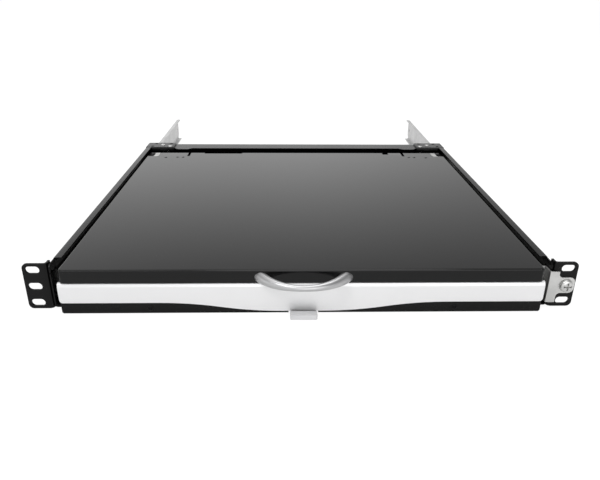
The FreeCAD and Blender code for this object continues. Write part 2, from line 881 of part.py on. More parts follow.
def ball_places(depth, height):
    """Centres of the balls of one cage, in an upper and a lower row."""
    places = []
    step = (cage_length - 2 * ball_end_gap) / (balls_per_row - 1)
    for index in range(balls_per_row):
        for side in (-1, 1):
            y = cage_front + ball_end_gap + index * step
            places.append(point(chassis_inner - depth, y, slide_centre_z + side * height))
    return places


def cage(web_depth, depth, height):
    """Right-hand ball cage: a thin channel with a square window round each ball."""
    strip = channel(web_depth + cage_sheet / 2, depth + cage_lip, height + cage_sheet / 2, cage_sheet,
                    cage_front,
                    cage_front + cage_length)
    half = ball_radius + ball_clearance
    windows = []
    for place in ball_places(depth, height):
        windows.append(block(place.x - half, place.x + half, place.y - half, place.y + half, place.z - past,
                             place.z + past))
    return strip.cut(Part.Compound(windows))


def balls(depth, height):
    """Balls of both cages of a pair, each with six flat sides round it."""
    solids = []
    for place in ball_places(depth, height):
        rings = []
        for angle in (-60, 0, 60):
            rise = ball_radius * math.sin(math.radians(angle))
            rings.append(ring(place, Z_AXIS, rise, ball_radius * math.cos(math.radians(angle)), 6))
        solids.append(stacked(rings))
    return solids + [mirrored(solid) for solid in solids]


def io_board():
    """Connector board behind the drawer, with its two chips."""
    rear = rear_inner - io_board_rear_gap
    front = rear - io_board_depth
    half = io_board_width / 2
    board = block(-half, half, front, rear, io_board_top - board_sheet, io_board_top)
    for x in (0, chip_size + chip_height):
        chip = block(x, x + chip_size, front + chip_height, front + chip_height + chip_size, io_board_top,
                     io_board_top + chip_height)
        board = board.fuse(chip)
    return board.removeSplitter()


def console_port():
    """Fifteen-pin console port: its body on the board, and its shell through the wall."""
    body = block(port_x - port_body_width / 2, port_x + port_body_width / 2, rear_inner - port_body_depth,
                 rear_inner,
                 io_board_top, port_z + port_body_top)
    shell_end = chassis_rear + port_shell_length
    shell = block(port_x - port_shell_width / 2, port_x + port_shell_width / 2, rear_inner, shell_end,
                  port_z - port_shell_height / 2, port_z + port_shell_height / 2)
    port = body.fuse(bevelled(shell, port_shell_bevel, Y_AXIS))
    pins = []
    for row in (-1, 0, 1):
        for column in range(-2, 3):
            x = port_x + column * pin_pitch + row * pin_row_shift
            z = port_z + row * pin_row_pitch
            pins.append(block(x - pin_hole / 2, x + pin_hole / 2, shell_end - pin_hole_depth,
                              shell_end + past,
                              z - pin_hole / 2, z + pin_hole / 2))
    return port.cut(Part.Compound(pins))


def power_jack():
    """Round power jack with its centre pin."""
    half = jack_body / 2
    body = block(jack_x - half, jack_x + half, rear_inner - jack_body_depth, rear_inner, io_board_top,
                 port_z + half)
    nose_end = chassis_rear + jack_length
    bore_end = rear_inner - jack_bore_depth
    nose = prism(jack_radius, point(jack_x, rear_inner, port_z), point(jack_x, nose_end, port_z), plain_sides)
    bore = prism(jack_bore_radius, point(jack_x, bore_end, port_z), point(jack_x, nose_end + past, port_z),
                 plain_sides)
    pin = prism(jack_pin_radius, point(jack_x, bore_end - past, port_z), point(jack_x, chassis_rear, port_z))
    return body.fuse(nose).cut(bore).fuse(pin)


def drawer_pan():
    """Drawer pan: floor, sides, front and rear walls, and the lug of the catch hook."""
    x = pan_half_width - sheet / 2
    z = pan_floor_bottom + sheet / 2
    path = [(-x, pan_wall_top), (-x, z), (x, z), (x, pan_wall_top)]
    pan = bent_strip(path, sheet, sheet_bend, "XZ", pan_front, pan_rear - pan_front)
    front = block(-x, x, pan_front, pan_front + sheet, pan_floor_bottom, pan_wall_top)
    rear = block(-x, x, pan_rear - sheet, pan_rear, pan_floor_bottom, deck_top)
    rear_lower = block(-rack_width, rack_width, pan_rear - sheet, pan_rear + past, deck_top, chassis_top)
    lug_x = hook_inner_x + hook_sheet + running_gap
    lug = block(lug_x, lug_x + sheet, hook_pivot_y - hook_lug_half, hook_pivot_y + hook_lug_half,
                pan_floor_top - 0.1, hook_pivot_z + hook_lug_half)
    lug = bevelled(lug, hook_lug_bevel, X_AXIS, lambda m: m.z > hook_pivot_z)
    pan = pan.fuse([front, rear, lug]).cut(rear_lower)

    slot_half = lever_half_width + lever_side_gap
    latch_slot = block(-slot_half, slot_half, pan_front - past, lever_slot_rear, pan_floor_bottom - past,
                       lever_high_z + lever_side_gap)
    nose_slot = block(hook_inner_x - nose_slot_side_gap, hook_inner_x + hook_sheet + fit_gap,
                      nose_y - nose_slot_half, nose_y + nose_slot_half, pan_floor_bottom - past,
                      pan_floor_top + 0.05)
    pin_hole = prism(hook_pin_radius, point(hook_inner_x, hook_pivot_y, hook_pivot_z),
                     point(lug_x + sheet + past, hook_pivot_y, hook_pivot_z), plain_sides)
    pan = pan.cut(Part.Compound([latch_slot, nose_slot, pin_hole]))
    return drawer_fasteners.drill(pan).removeSplitter()


def front_panel():
    """Black steel panel on the drawer's front, with the latch slot in its lower edge."""
    panel = block(-panel_half_width, panel_half_width, panel_front, pan_front, base_z, trim_top - trim_sheet)
    panel = bevelled(panel, panel_corner, Y_AXIS, lambda m: m.z < 0)
    panel = bevelled(panel, trim_bend, X_AXIS, lambda m: m.z > 0 and m.y < panel_front + 0.1)
    half = lever_half_width + lever_side_gap
    slot = block(-half, half, panel_front - past, pan_front + past, base_z - past,
                 lever_low_z + lever_sheet / 2 + running_gap)
    return drawer_fasteners.drill(panel.cut(slot))


def trim_lower_edge():
    """Edges of the trim's face: flat wings that swell down to a belly through two arcs each side."""
    rise = trim_wing_bottom - trim_belly_bottom
    run = trim_wing_start - trim_belly_half
    radius = (run * run + rise * rise) / (4 * rise)
    half_turn = math.asin(run / 2 / radius) / 2
    middle_x = trim_belly_half + run / 2
    middle_z = trim_belly_bottom + rise / 2
    inner_x = trim_belly_half + radius * math.sin(half_turn)
    inner_z = trim_belly_bottom + radius * (1 - math.cos(half_turn))
    outer_x = trim_wing_start - radius * math.sin(half_turn)
    outer_z = trim_wing_bottom - radius * (1 - math.cos(half_turn))
    top = trim_top + past

    def spot(x, z):
        return point(x, trim_front - past, z)

    edges = []
    for side in (-1, 1):
        edges.append(Part.LineSegment(spot(side * trim_half_width, top),
                                      spot(side * trim_half_width, trim_wing_bottom)).toShape())
        edges.append(Part.LineSegment(spot(side * trim_half_width, trim_wing_bottom),
                                      spot(side * trim_wing_start, trim_wing_bottom)).toShape())
        edges.append(Part.Arc(spot(side * trim_wing_start, trim_wing_bottom), spot(side * outer_x, outer_z),
                              spot(side * middle_x, middle_z)).toShape())
        edges.append(Part.Arc(spot(side * middle_x, middle_z), spot(side * inner_x, inner_z),
                              spot(side * trim_belly_half, trim_belly_bottom)).toShape())
    edges.append(Part.LineSegment(spot(-trim_belly_half, trim_belly_bottom),
                                  spot(trim_belly_half, trim_belly_bottom)).toShape())
    edges.append(Part.LineSegment(spot(-trim_half_width, top), spot(trim_half_width, top)).toShape())
    return edges


def front_trim():
    """Silver trim: a thin face with a bent top that folds back over the panel."""
    face_y = trim_front + trim_sheet / 2
    top_z = trim_top - trim_sheet / 2
    path = [(face_y, trim_belly_bottom), (face_y, top_z), (trim_front + trim_return + trim_sheet, top_z)]
    sheet_form = bent_strip(path, trim_sheet, trim_bend, "YZ", -trim_half_width, 2 * trim_half_width)
    outline = extruded(trim_lower_edge(), "XZ", trim_front - past, trim_return + 3)
    trim = sheet_form.common(outline)
    return rounded(trim, trim_corner, Y_AXIS, lambda m: abs(m.x) > trim_half_width - 0.1 and m.z < 0)


def lock_bracket():
    """Plated bracket: strip and tongue before the right ear, leg past it, and flange on the drawer side."""
    strip_y = -running_gap - bracket_sheet / 2
    strip_outer = ear_inner + bracket_strip_reach
    tongue_outer = slot_x + bracket_tongue_reach
    leg_x = chassis_inner - bracket_wall_gap - bracket_sheet / 2
    web_y = bracket_depth - bracket_sheet / 2
    path = [(tongue_outer, strip_y), (leg_x, strip_y), (leg_x, web_y), (pan_half_width, web_y)]
    bracket = bent_strip(path, bracket_sheet, bracket_bend, "XY", bracket_bottom,
                         bracket_top - bracket_bottom)
    front = strip_y - bracket_sheet
    for sign, end in ((-1, bracket_bottom - past), (1, bracket_top + past)):
        edge = sign * tongue_half_height
        notch = block(strip_outer, tongue_outer + past, front, front + 2 * bracket_sheet,
                      *sorted((edge, end)))
        notch = notch.cut(corner_cutter(strip_outer, edge, tongue_fillet, -1, -sign, front - past,
                                        3 * bracket_sheet))
        bracket = bracket.cut(notch)
        bracket = bracket.cut(corner_cutter(tongue_outer, edge, tongue_corner, 1, sign, front,
                                            2 * bracket_sheet))
    flange = block(pan_half_width, pan_half_width + bracket_sheet, web_y - bracket_sheet / 2,
                   bracket_flange_rear,
                   slide_centre_z - inner_half, slide_centre_z + inner_half)
    hole = prism(LOCK_SCREW[0] + running_gap, point(slot_x, -bracket_sheet * 2, 0), point(slot_x, 1, 0),
                 plain_sides)
    return drawer_fasteners.drill(bracket.fuse(flange).cut(hole)).removeSplitter()


def lock_screw():
    """Cross-recessed pan head screw through the bracket and the ear's middle slot."""
    seat = point(slot_x, -running_gap * 2 - bracket_sheet, 0)
    screw = pan_head_screw(seat, -Y_AXIS, LOCK_SCREW, lock_shank_length, plain_sides)
    top_y = seat.y - LOCK_SCREW[2]
    for long_x, long_z in ((cross_length, cross_width), (cross_width, cross_length)):
        screw = screw.cut(block(slot_x - long_x / 2, slot_x + long_x / 2, top_y - past, top_y + cross_depth,
                                -long_z / 2, long_z / 2))
    return screw


def latch_lever():
    """Steel strip behind the tab: under the panel, up through the pan's slot, and a lug at its end."""
    path = [(tab_rear - tab_overlap, lever_low_z), (lever_joggle_front, lever_low_z),
            (lever_joggle_rear, lever_high_z), (lever_lug_y, lever_high_z), (lever_lug_y, lever_lug_top)]
    lever = bent_strip(path, lever_sheet, lever_bend, "YZ", -lever_half_width, 2 * lever_half_width)
    for side in (-1, 1):
        low, high = sorted((side * lever_neck_half, side * (lever_half_width + past)))
        lever = lever.cut(block(low, high, lever_shoulder, lever_lug_y + 2, pan_floor_bottom,
                                lever_lug_top + past))
    return lever


def release_tab():
    """Light plastic grip pressed over the end of the lever."""
    low = base_z + tab_lift
    tab = block(-tab_half_width, tab_half_width, tab_front, tab_rear, low, low + tab_height)
    tab = bevelled(tab, tab_corner, Z_AXIS, lambda m: m.y < tab_front + 0.1)
    return tab.cut(latch_lever())


def catch_hook():
    """Bell-crank that the lever's lug pulls, so that its nose lifts off the chassis floor."""
    tip_z = hook_pivot_z + hook_arm
    x_high = hook_inner_x + hook_sheet
    half = hook_width / 2
    outline = [(hook_pivot_y - half, hook_pivot_z), (hook_pivot_y - half, tip_z),
               (hook_pivot_y + half, tip_z),
               (hook_pivot_y + half, hook_pivot_z + half), (nose_y + half, hook_pivot_z + half),
               (nose_y + half, floor_top + running_gap + hook_nose_slope),
               (nose_y - half, floor_top + running_gap),
               (nose_y - half, hook_pivot_z - half), (hook_pivot_y, hook_pivot_z - half)]
    plate = polygon_solid(outline, "YZ", hook_inner_x, hook_sheet)
    boss = prism(hook_boss, point(hook_inner_x, hook_pivot_y, hook_pivot_z),
                 point(x_high, hook_pivot_y, hook_pivot_z),
                 plain_sides)
    tip_pin = prism(hook_tip_radius, point(-lever_neck_half, hook_pivot_y, tip_z),
                    point(x_high, hook_pivot_y, tip_z),
                    plain_sides)
    bore = prism(around_round(hook_pin_radius + hinge_running_gap), point(hook_inner_x - past, hook_pivot_y,
                                                                          hook_pivot_z),
                 point(x_high + past, hook_pivot_y, hook_pivot_z), plain_sides)
    return plate.fuse([boss, tip_pin]).cut(bore).removeSplitter()


def pivot_pins():
    """The two hinge pins and the pin of the catch hook."""
    hinge = rod(hinge_pin_radius, point(arm_knuckle_inner - hinge_pin_end, hinge_y, hinge_z),
                point(pan_inner, hinge_y, hinge_z))
    lug_outer = hook_inner_x + hook_sheet + running_gap + sheet
    catch = prism(hook_pin_radius, point(hook_inner_x - running_gap, hook_pivot_y, hook_pivot_z),
                  point(lug_outer, hook_pivot_y, hook_pivot_z), plain_sides)
    return both(hinge) + [catch]


def row_depth(name):
    return function_row_depth if name == "key_row_function" else key_pitch


def row_front(name):
    """Front edge of a row of keys."""
    return keyboard_front + ROWS_FROM_FRONT.index(name) * key_pitch


def key_cells(name):
    """Left edge and width of every key of a row."""
    cells = []
    x = -keys_total_width / 2
    for units in MAIN_WIDTHS[name]:
        cells.append((x, units * key_pitch))
        x += units * key_pitch
    x = keys_total_width / 2 - KEYPAD_COLUMNS * key_pitch
    for units in KEYPAD_WIDTHS.get(name, [1] * KEYPAD_COLUMNS):
        cells.append((x, units * key_pitch))
        x += units * key_pitch
    return cells


def key_cap(x, width, y, depth):
    """One key: a tapered cap on a square stem."""

    def outline(z, x_inset, y_inset):
        return [point(x + x_inset, y + y_inset, z), point(x + width - x_inset, y + y_inset, z),
                point(x + width - x_inset, y + depth - y_inset, z),
                point(x + x_inset, y + depth - y_inset, z)]

    stem_x = (width - stem_size) / 2
    stem_y = (depth - stem_size) / 2
    side = key_gap / 2
    return stacked([outline(key_bottom - stem_length, stem_x, stem_y), outline(key_bottom, stem_x, stem_y),
                    outline(key_bottom, side, side), outline(key_top, side + key_taper, side + key_taper)])


def key_row(name):
    """All keys of one row, as separate solids."""
    return [key_cap(x, width, row_front(name), row_depth(name)) for x, width in key_cells(name)]


def keyboard_frame():
    """Frame that guides the key stems in one slot for each row. Its rim meets the deck and the base."""
    inner_x = keys_total_width / 2 + window_margin
    inner_front = keyboard_front - window_margin
    inner_rear = keyboard_front + keys_depth + window_margin
    frame = block(-inner_x - frame_rim, inner_x + frame_rim, inner_front - frame_rim, inner_rear + frame_rim,
                  base_top, deck_bottom)
    cutters = []
    for z_low, z_high in ((base_top - past, frame_bottom), (frame_top, deck_bottom + past)):
        cutters.append(block(-inner_x, inner_x, inner_front, inner_rear, z_low, z_high))
    slot_x_half = keys_total_width / 2 - frame_end_bar
    for name in MAIN_WIDTHS:
        middle = row_front(name) + row_depth(name) / 2
        half = stem_size / 2 + running_gap
        cutters.append(block(-slot_x_half, slot_x_half, middle - half, middle + half, frame_bottom - past,
                             frame_top + past))
    return frame.cut(Part.Compound(cutters))


def under_keys(z_low, z_high, margin):
    """A plate under all of the keys."""
    half = keys_total_width / 2 + window_margin + margin
    return block(-half, half, keyboard_front - window_margin - margin,
                 keyboard_front + keys_depth + window_margin + margin, z_low, z_high)


def pad_button_block(side, margin, z_low, z_high):
    """A block over one touchpad button, wider by a margin."""
    middle = side * (pad_button_width + pad_button_gap) / 2
    half = pad_button_width / 2 + margin
    return block(middle - half, middle + half, pad_button_front - margin,
                 pad_button_front + pad_button_depth + margin, z_low, z_high)


def pad_button(side):
    """One touchpad button, with a flange under the deck."""
    flange_top = deck_bottom - running_gap
    cap = bevelled(pad_button_block(side, 0, flange_top - pad_button_flange_sheet,
                                    deck_top + pad_button_proud),
                   pad_corner, Z_AXIS)
    flange = pad_button_block(side, pad_button_flange, flange_top - pad_button_flange_sheet, flange_top)
    return cap.fuse(flange).removeSplitter()


def keyboard_deck():
    """Plastic deck over the drawer: palm rest, keyboard window, touchpad pocket and button windows."""
    half = pan_inner - fit_gap
    front = pan_front + sheet + fit_gap
    skirt_bottom = deck_bottom - deck_skirt
    deck = block(-half, half, front, deck_rear, skirt_bottom, deck_top)
    deck = bevelled(deck, deck_bevel, Y_AXIS, lambda m: m.z > deck_bottom)
    hollow = block(-half + deck_sheet, half - deck_sheet, front + deck_sheet, deck_rear - deck_sheet,
                   skirt_bottom - past, deck_bottom)
    pocket = block(-touchpad_width / 2 - fit_gap, touchpad_width / 2 + fit_gap, touchpad_front - fit_gap,
                   touchpad_front + touchpad_depth + fit_gap, deck_top - touchpad_sheet - fit_gap,
                   deck_top + past)
    cutters = [under_keys(deck_bottom - past, deck_top + past, 0), pocket]
    for side in (-1, 1):
        cutters.append(bevelled(pad_button_block(side, running_gap, deck_bottom - past, deck_top + past),
                                pad_corner, Z_AXIS))
        hinge_room = sorted((side * (pan_inner - arm_sheet - fit_gap), side * pan_half_width))
        cutters.append(block(*hinge_room, hinge_base_front - fit_gap, deck_rear + past, skirt_bottom - past,
                             deck_top + past))
    return deck.cut(hollow).cut(Part.Compound(cutters))


def touchpad():
    """Touch surface in the deck's pocket."""
    pad = block(-touchpad_width / 2, touchpad_width / 2, touchpad_front, touchpad_front + touchpad_depth,
                deck_top - touchpad_sheet - fit_gap, deck_top - fit_gap)
    return bevelled(pad, pad_corner, Z_AXIS)


def control_board():
    """Switching board on the drawer floor, with a row of chips and a row of headers."""
    top = pan_floor_top + control_board_lift + board_sheet
    rear = pan_rear - control_board_rear_gap
    front = rear - control_board_depth
    board = block(control_board_left, control_board_left + control_board_width, front, rear,
                  top - board_sheet, top)
    parts = []
    for index in range(4):
        x = control_board_left + 2 * board_screw_inset + index * chip_pitch
        parts.append(block(x, x + chip_size, front + chip_size, front + 2 * chip_size, top,
                           top + chip_height))
        parts.append(block(x, x + header_length, rear - 2 * header_width, rear - header_width, top,
                           top + header_height))
    return board.fuse(parts).removeSplitter()


def lid_outline(inset, z):
    """Corners of the lid's plan at one height, drawn in by an inset."""
    half = lid_half_width - inset
    step = notch_inner - inset
    front = lid_front + inset
    rear = lid_rear - inset
    notch = notch_front - inset
    radius = max(lid_corner - inset, 0.5)
    right_front = []
    for degrees in (0, 30, 60, 90):
        angle = math.radians(degrees)
        right_front.append((half - radius + radius * math.sin(angle),
                            front + radius - radius * math.cos(angle)))
    left_front = [(-x, y) for x, y in reversed(right_front)]
    rear_corners = [(half, notch), (step, notch), (step, rear), (-step, rear), (-step, notch), (-half, notch)]
    return [point(x, y, z) for x, y in left_front + right_front + rear_corners]


def lid_cover():
    """Black sheet cover of the lid, with skirts all round, slits and recesses at its rear edge."""
    bevel = lid_edge_round * (1 - math.sqrt(0.5))
    outer = stacked([lid_outline(0, lid_bottom), lid_outline(0, lid_top - lid_edge_round),
                     lid_outline(bevel, lid_top - bevel), lid_outline(lid_edge_round, lid_top)])
    cavity = stacked([lid_outline(lid_sheet, lid_bottom - past), lid_outline(lid_sheet, lid_inner_top)])
    cutters = [cavity]
    recesses = [(recess_left, recess_right, recess_depth), (pocket_left, pocket_right, pocket_depth)]
    for side in (-1, 1):
        recesses.append((side * slit_x - slit_width / 2, side * slit_x + slit_width / 2, slit_depth))
        arm_room = sorted((side * (arm_knuckle_inner - running_gap),
                           side * (arm_knuckle_outer + running_gap)))
        cutters.append(block(*arm_room, notch_front - lid_sheet - past, notch_front + past,
                             lid_inner_top - arm_sheet - running_gap, lid_inner_top))
    for x_low, x_high, depth in recesses:
        cutters.append(block(x_low, x_high, lid_rear - depth, lid_rear + past, lid_bottom - past,
                             lid_top + past))
    return lid_fasteners.drill(outer.cut(Part.Compound(cutters)))


def screen_button_places():
    return [(index - 1.5) * screen_button_pitch for index in range(4)]


def over_button(x, margin, z_low, z_high):
    """A block over one screen button, wider by a margin."""
    half_x = screen_button_width / 2 + margin
    half_y = screen_button_depth / 2 + margin
    return block(x - half_x, x + half_x, screen_button_y - half_y, screen_button_y + half_y, z_low, z_high)


def screen_corners(border, z):
    """Corners of the picture area at one height, wider by a border."""
    half = screen_width / 2 + border
    front = screen_front - border
    rear = screen_rear + border
    return [point(-half, front, z), point(half, front, z), point(half, rear, z), point(-half, rear, z)]


def screen_plate(border, z_low, z_high):
    """A plate over the screen's picture area."""
    return stacked([screen_corners(border, z_low), screen_corners(border, z_high)])


def lid_bezel():
    """Plastic bezel round the screen, with windows for the screen buttons."""
    inset = lid_sheet + fit_gap
    bezel = stacked([lid_outline(inset, lid_bottom), lid_outline(inset, bezel_inner)])
    rear_room = block(-rack_width, rack_width, lid_rear - bezel_rear_gap, lid_rear + past,
                      lid_bottom - past, lid_top)
    window = stacked([screen_corners(screen_slope, lid_bottom - 0.01),
                      screen_corners(0, bezel_inner - screen_step),
                      screen_corners(0, bezel_inner + past)])
    cutters = [rear_room, window]
    for x in screen_button_places():
        hole = over_button(x, running_gap, lid_bottom - past, bezel_inner + past)
        cutters.append(bevelled(hole, screen_button_corner, Z_AXIS))
    for side in (-1, 1):
        x = side * slit_x
        cutters.append(block(x - slit_width / 2, x + slit_width / 2, lid_rear - slit_depth, lid_rear,
                             lid_bottom - past, bezel_inner + past))
    return bezel.cut(Part.Compound(cutters))


def screen_button(x):
    """One button of the screen controls, pressed into the lid."""
    top = bezel_inner + screen_button_height
    cap = bevelled(over_button(x, 0, lid_bottom - screen_button_proud, top), screen_button_corner, Z_AXIS)
    flange = over_button(x, screen_button_flange, bezel_inner + running_gap, top)
    return cap.fuse(flange).removeSplitter()


def display_board():
    """Display driver board above the screen buttons, with a connector at each end."""
    top = lid_inner_top - display_board_drop
    half = display_board_width / 2
    rear = lid_rear - display_board_rear_gap
    front = rear - display_board_depth
    board = block(-half, half, front, rear, top - board_sheet, top)
    parts = []
    for x in (-half + 2 * board_screw_inset, half - 2 * board_screw_inset - header_length):
        parts.append(block(x, x + header_length, front + 4, front + 4 + header_width, top,
                           top + header_height))
    return board.fuse(parts).removeSplitter()


def hinge_arm():
    """Right-hand lid half of the hinge: a leaf under the cover and a knuckle on the pin."""
    plate_z = lid_inner_top - arm_sheet / 2
    leaf_front = notch_front - arm_leaf_depth
    crest_z = hinge_z + hinge_knuckle_radius - arm_sheet / 2
    step_y = notch_front + arm_step_start
    path = [(leaf_front, plate_z), (step_y, plate_z), (step_y + arm_step, crest_z), (hinge_y, crest_z)]
    arm = bent_strip(path, arm_sheet, arm_bend, "YZ", arm_knuckle_inner, arm_knuckle_length)
    leaf = block(arm_leaf_inner, arm_knuckle_inner + past, leaf_front, notch_front - lid_sheet - fit_gap,
                 lid_inner_top - arm_sheet, lid_inner_top)
    leaf = bevelled(leaf, arm_leaf_bevel, Z_AXIS, lambda m: m.x < arm_leaf_inner + 0.1)
    knuckle = prism(hinge_knuckle_radius, point(arm_knuckle_inner, hinge_y, hinge_z),
                    point(arm_knuckle_outer, hinge_y, hinge_z), plain_sides)
    bore = rod(hinge_pin_radius + hinge_running_gap, point(arm_knuckle_inner - past, hinge_y, hinge_z),
               point(arm_knuckle_outer + past, hinge_y, hinge_z))
    return lid_fasteners.drill(arm.fuse([leaf, knuckle]).cut(bore)).removeSplitter()


def hinge_base():
    """Right-hand drawer half of the hinge: an upright on the pan wall with its knuckle."""
    x_low = pan_inner - arm_sheet
    foot_z = pan_floor_top + base_foot_gap
    outline = [(hinge_base_front, foot_z), (pan_rear - sheet, foot_z), (pan_rear - sheet, deck_top),
               (hinge_y + hinge_knuckle_radius, deck_top), (hinge_y + hinge_knuckle_radius, hinge_z),
               (hinge_y - hinge_knuckle_radius, hinge_z),
               (hinge_base_front + base_slope_run / 2, deck_bottom),
               (hinge_base_front, deck_bottom - deck_skirt)]
    upright = polygon_solid(outline, "YZ", x_low, arm_sheet)
    knuckle = prism(hinge_knuckle_radius, point(base_knuckle_inner, hinge_y, hinge_z),
                    point(pan_inner, hinge_y, hinge_z), plain_sides)
    bore = prism(around_round(hinge_pin_radius), point(base_knuckle_inner - past, hinge_y, hinge_z),
                 point(pan_inner + past, hinge_y, hinge_z), plain_sides)
    return drawer_fasteners.drill(upright.fuse(knuckle).cut(bore)).removeSplitter()


def handle():
    """Crescent handle on one arc: thick where it meets the lid and thin in the middle, with flat ends."""
    arc_radius = (handle_half_span ** 2 + handle_reach ** 2) / (2 * handle_reach)
    centre_y = lid_front - handle_reach + arc_radius
    first = math.acos(handle_half_span / arc_radius)
    rings = []
    for step in range(handle_steps + 1):
        heading = first + (math.pi - 2 * first) * step / handle_steps
        x = arc_radius * math.cos(heading)
        y = centre_y - arc_radius * math.sin(heading)
        growth = (x / handle_half_span) ** 2
        radius = handle_middle_radius + (handle_foot_radius - handle_middle_radius) * growth
        at_end = step in (0, handle_steps)
        corners = []
        for index in range(handle_sides):
            angle = 2 * math.pi * (index + 0.5) / handle_sides
            out = radius * math.cos(angle)
            z = handle_z + radius * math.sin(angle)
            if at_end:
                corners.append(point(x + out / math.cos(heading), lid_front, z))
            else:
                corners.append(point(x + out * math.cos(heading), y - out * math.sin(heading), z))
        rings.append(corners)
    return lid_fasteners.drill(stacked(rings))


def bumpers():
    """Rubber pads that keep the lid off the deck."""
    pads = []
    for side in (-1, 1):
        for y in (lid_front + bumper_front_inset, lid_rear - bumper_rear_inset):
            x = side * (lid_half_width - bumper_side_inset)
            pads.append(prism(bumper_radius, point(x, y, deck_top + running_gap), point(x, y, lid_bottom),
                              pad_sides))
    return pads


def build():
    """Every node by name."""
    place_screws()
    nodes = {
        "chassis_tray": chassis_tray(),
        "slide_middles": both(slide_middle()),
        "outer_ball_cages": both(cage(outer_cage_depth, outer_ball_depth, outer_race_height)),
        "inner_ball_cages": both(cage(inner_cage_depth, inner_ball_depth, inner_race_height)),
        "outer_balls": balls(outer_ball_depth, outer_race_height),
        "inner_balls": balls(inner_ball_depth, inner_race_height),
        "io_board": io_board(),
        "console_port": console_port(),
        "power_jack": power_jack(),
        "drawer_pan": drawer_pan(),
        "front_panel": front_panel(),
        "front_trim": front_trim(),
        "lock_bracket": lock_bracket(),
        "lock_screw": lock_screw(),
        "latch_lever": latch_lever(),
        "release_tab": release_tab(),
        "catch_hook": catch_hook(),
        "pivot_pins": pivot_pins(),
        "keyboard_deck": keyboard_deck(),
        "keyboard_frame": keyboard_frame(),
        "keyboard_membrane": under_keys(base_top, membrane_top, 0),
        "keyboard_base": under_keys(base_bottom, base_top, frame_rim),
        "touchpad": touchpad(),
        "touchpad_button_left": pad_button(-1),
        "touchpad_button_right": pad_button(1),
        "control_board": control_board(),
        "lid_cover": lid_cover(),
        "lid_bezel": lid_bezel(),
        "display_glass": screen_plate(glass_border, bezel_inner, glass_back),
        "display_module": screen_plate(module_border, glass_back, lid_inner_top),
        "display_board": display_board(),
        "handle": handle(),
        "lid_bumpers": bumpers(),
        "chassis_fasteners": chassis_fasteners.solids,
        "drawer_fasteners": drawer_fasteners.solids,
        "lid_fasteners": lid_fasteners.solids,
    }
    for kind, make in (("ear", ear), ("gusset", gusset), ("rear_rail", rear_rail),
                       ("slide_outer", slide_outer),
                       ("slide_inner", slide_inner), ("hinge_arm", hinge_arm), ("hinge_base", hinge_base)):
        nodes[kind + "_right"] = make()
        nodes[kind + "_left"] = mirrored(nodes[kind + "_right"])
    for name in MAIN_WIDTHS:
        nodes[name] = key_row(name)
    for name, x in zip(("menu_button", "minus_button", "plus_button", "power_button"),
                       screen_button_places()):
        nodes[name] = screen_button(x)
    return nodes


def write(nodes):
    """One file for each node."""
    os.makedirs("parts", exist_ok=True)
    for name, shape in nodes.items():
        solids = shape if isinstance(shape, list) else shape.Solids
        whole = solids[0] if len(solids) == 1 else Part.Compound(solids)
        if not whole.isValid():
            print("not valid:", name)
        whole.exportStep(os.path.join("parts", name + ".step"))
        print(name, len(solids), "solids", round(whole.Volume / 1000, 2), "cm3")


write(build())
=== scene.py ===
"""Looks of a rack console drawer: a flat display that folds down over a keyboard, in one rack unit.

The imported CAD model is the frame. Its sheet and moulded pieces are copied with soft edges, and the
handle, the trim, the keys, the screws and the balls are made again with the forms that the solids
only outline. Everything is in metres, as the CAD places it.
"""
import json
import math

import bmesh
import bpy
from mathutils import Matrix, Vector


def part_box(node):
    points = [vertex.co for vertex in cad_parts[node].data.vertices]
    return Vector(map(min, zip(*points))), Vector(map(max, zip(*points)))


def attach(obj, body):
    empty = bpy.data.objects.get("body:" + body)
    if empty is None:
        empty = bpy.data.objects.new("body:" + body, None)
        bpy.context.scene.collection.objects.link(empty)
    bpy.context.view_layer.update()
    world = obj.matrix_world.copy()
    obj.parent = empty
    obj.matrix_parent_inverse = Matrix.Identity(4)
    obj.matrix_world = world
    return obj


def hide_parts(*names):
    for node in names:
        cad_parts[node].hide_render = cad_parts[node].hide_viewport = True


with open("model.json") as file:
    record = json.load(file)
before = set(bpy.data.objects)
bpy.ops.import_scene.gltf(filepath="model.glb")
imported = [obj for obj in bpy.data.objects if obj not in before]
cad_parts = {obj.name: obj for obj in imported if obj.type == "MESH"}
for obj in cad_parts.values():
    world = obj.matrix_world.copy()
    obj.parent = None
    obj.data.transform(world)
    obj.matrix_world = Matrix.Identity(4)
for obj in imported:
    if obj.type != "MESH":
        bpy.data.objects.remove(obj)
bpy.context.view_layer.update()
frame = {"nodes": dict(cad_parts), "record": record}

bl_info = {
    "name": "Rack Console Looks",
    "version": (1, 0, 0),
    "blender": (4, 5, 0),
    "location": "View3D > Sidebar > Rack Console",
    "description": "Gives a rack console drawer its finishes, its fine pieces and its studio",
    "category": "Object",
}

MM = 0.001
WHITE = (1.0, 1.0, 1.0, 1.0)

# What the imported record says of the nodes, and the nodes that are made again in a way of their own.
NODE_SLOT = {part["node"]: part["material_slot"] for part in frame["record"]["subparts"]}
BODIES = frame["record"]["behaviour"]["bodies"]
NODE_BODY = {node: body for body, nodes in BODIES.items() for node in nodes}
KEY_ROWS = [node for node in NODE_SLOT if node.startswith("key_row_")]
BALL_NODES = ("outer_balls", "inner_balls")
SHEET_NODES = (
    "chassis_tray", "gusset_left", "gusset_right", "rear_rail_left", "rear_rail_right",
    "slide_outer_left", "slide_outer_right", "slide_middles", "slide_inner_left",
    "slide_inner_right", "drawer_pan", "front_panel", "latch_lever", "catch_hook", "lid_cover",
    "hinge_arm_left", "hinge_arm_right", "hinge_base_left", "hinge_base_right",
)
MOULDED_NODES = (
    "release_tab", "keyboard_deck", "touchpad", "touchpad_button_left", "touchpad_button_right",
    "lid_bezel", "menu_button", "minus_button", "plus_button", "power_button", "console_port",
    "power_jack", "lid_bumpers",
)
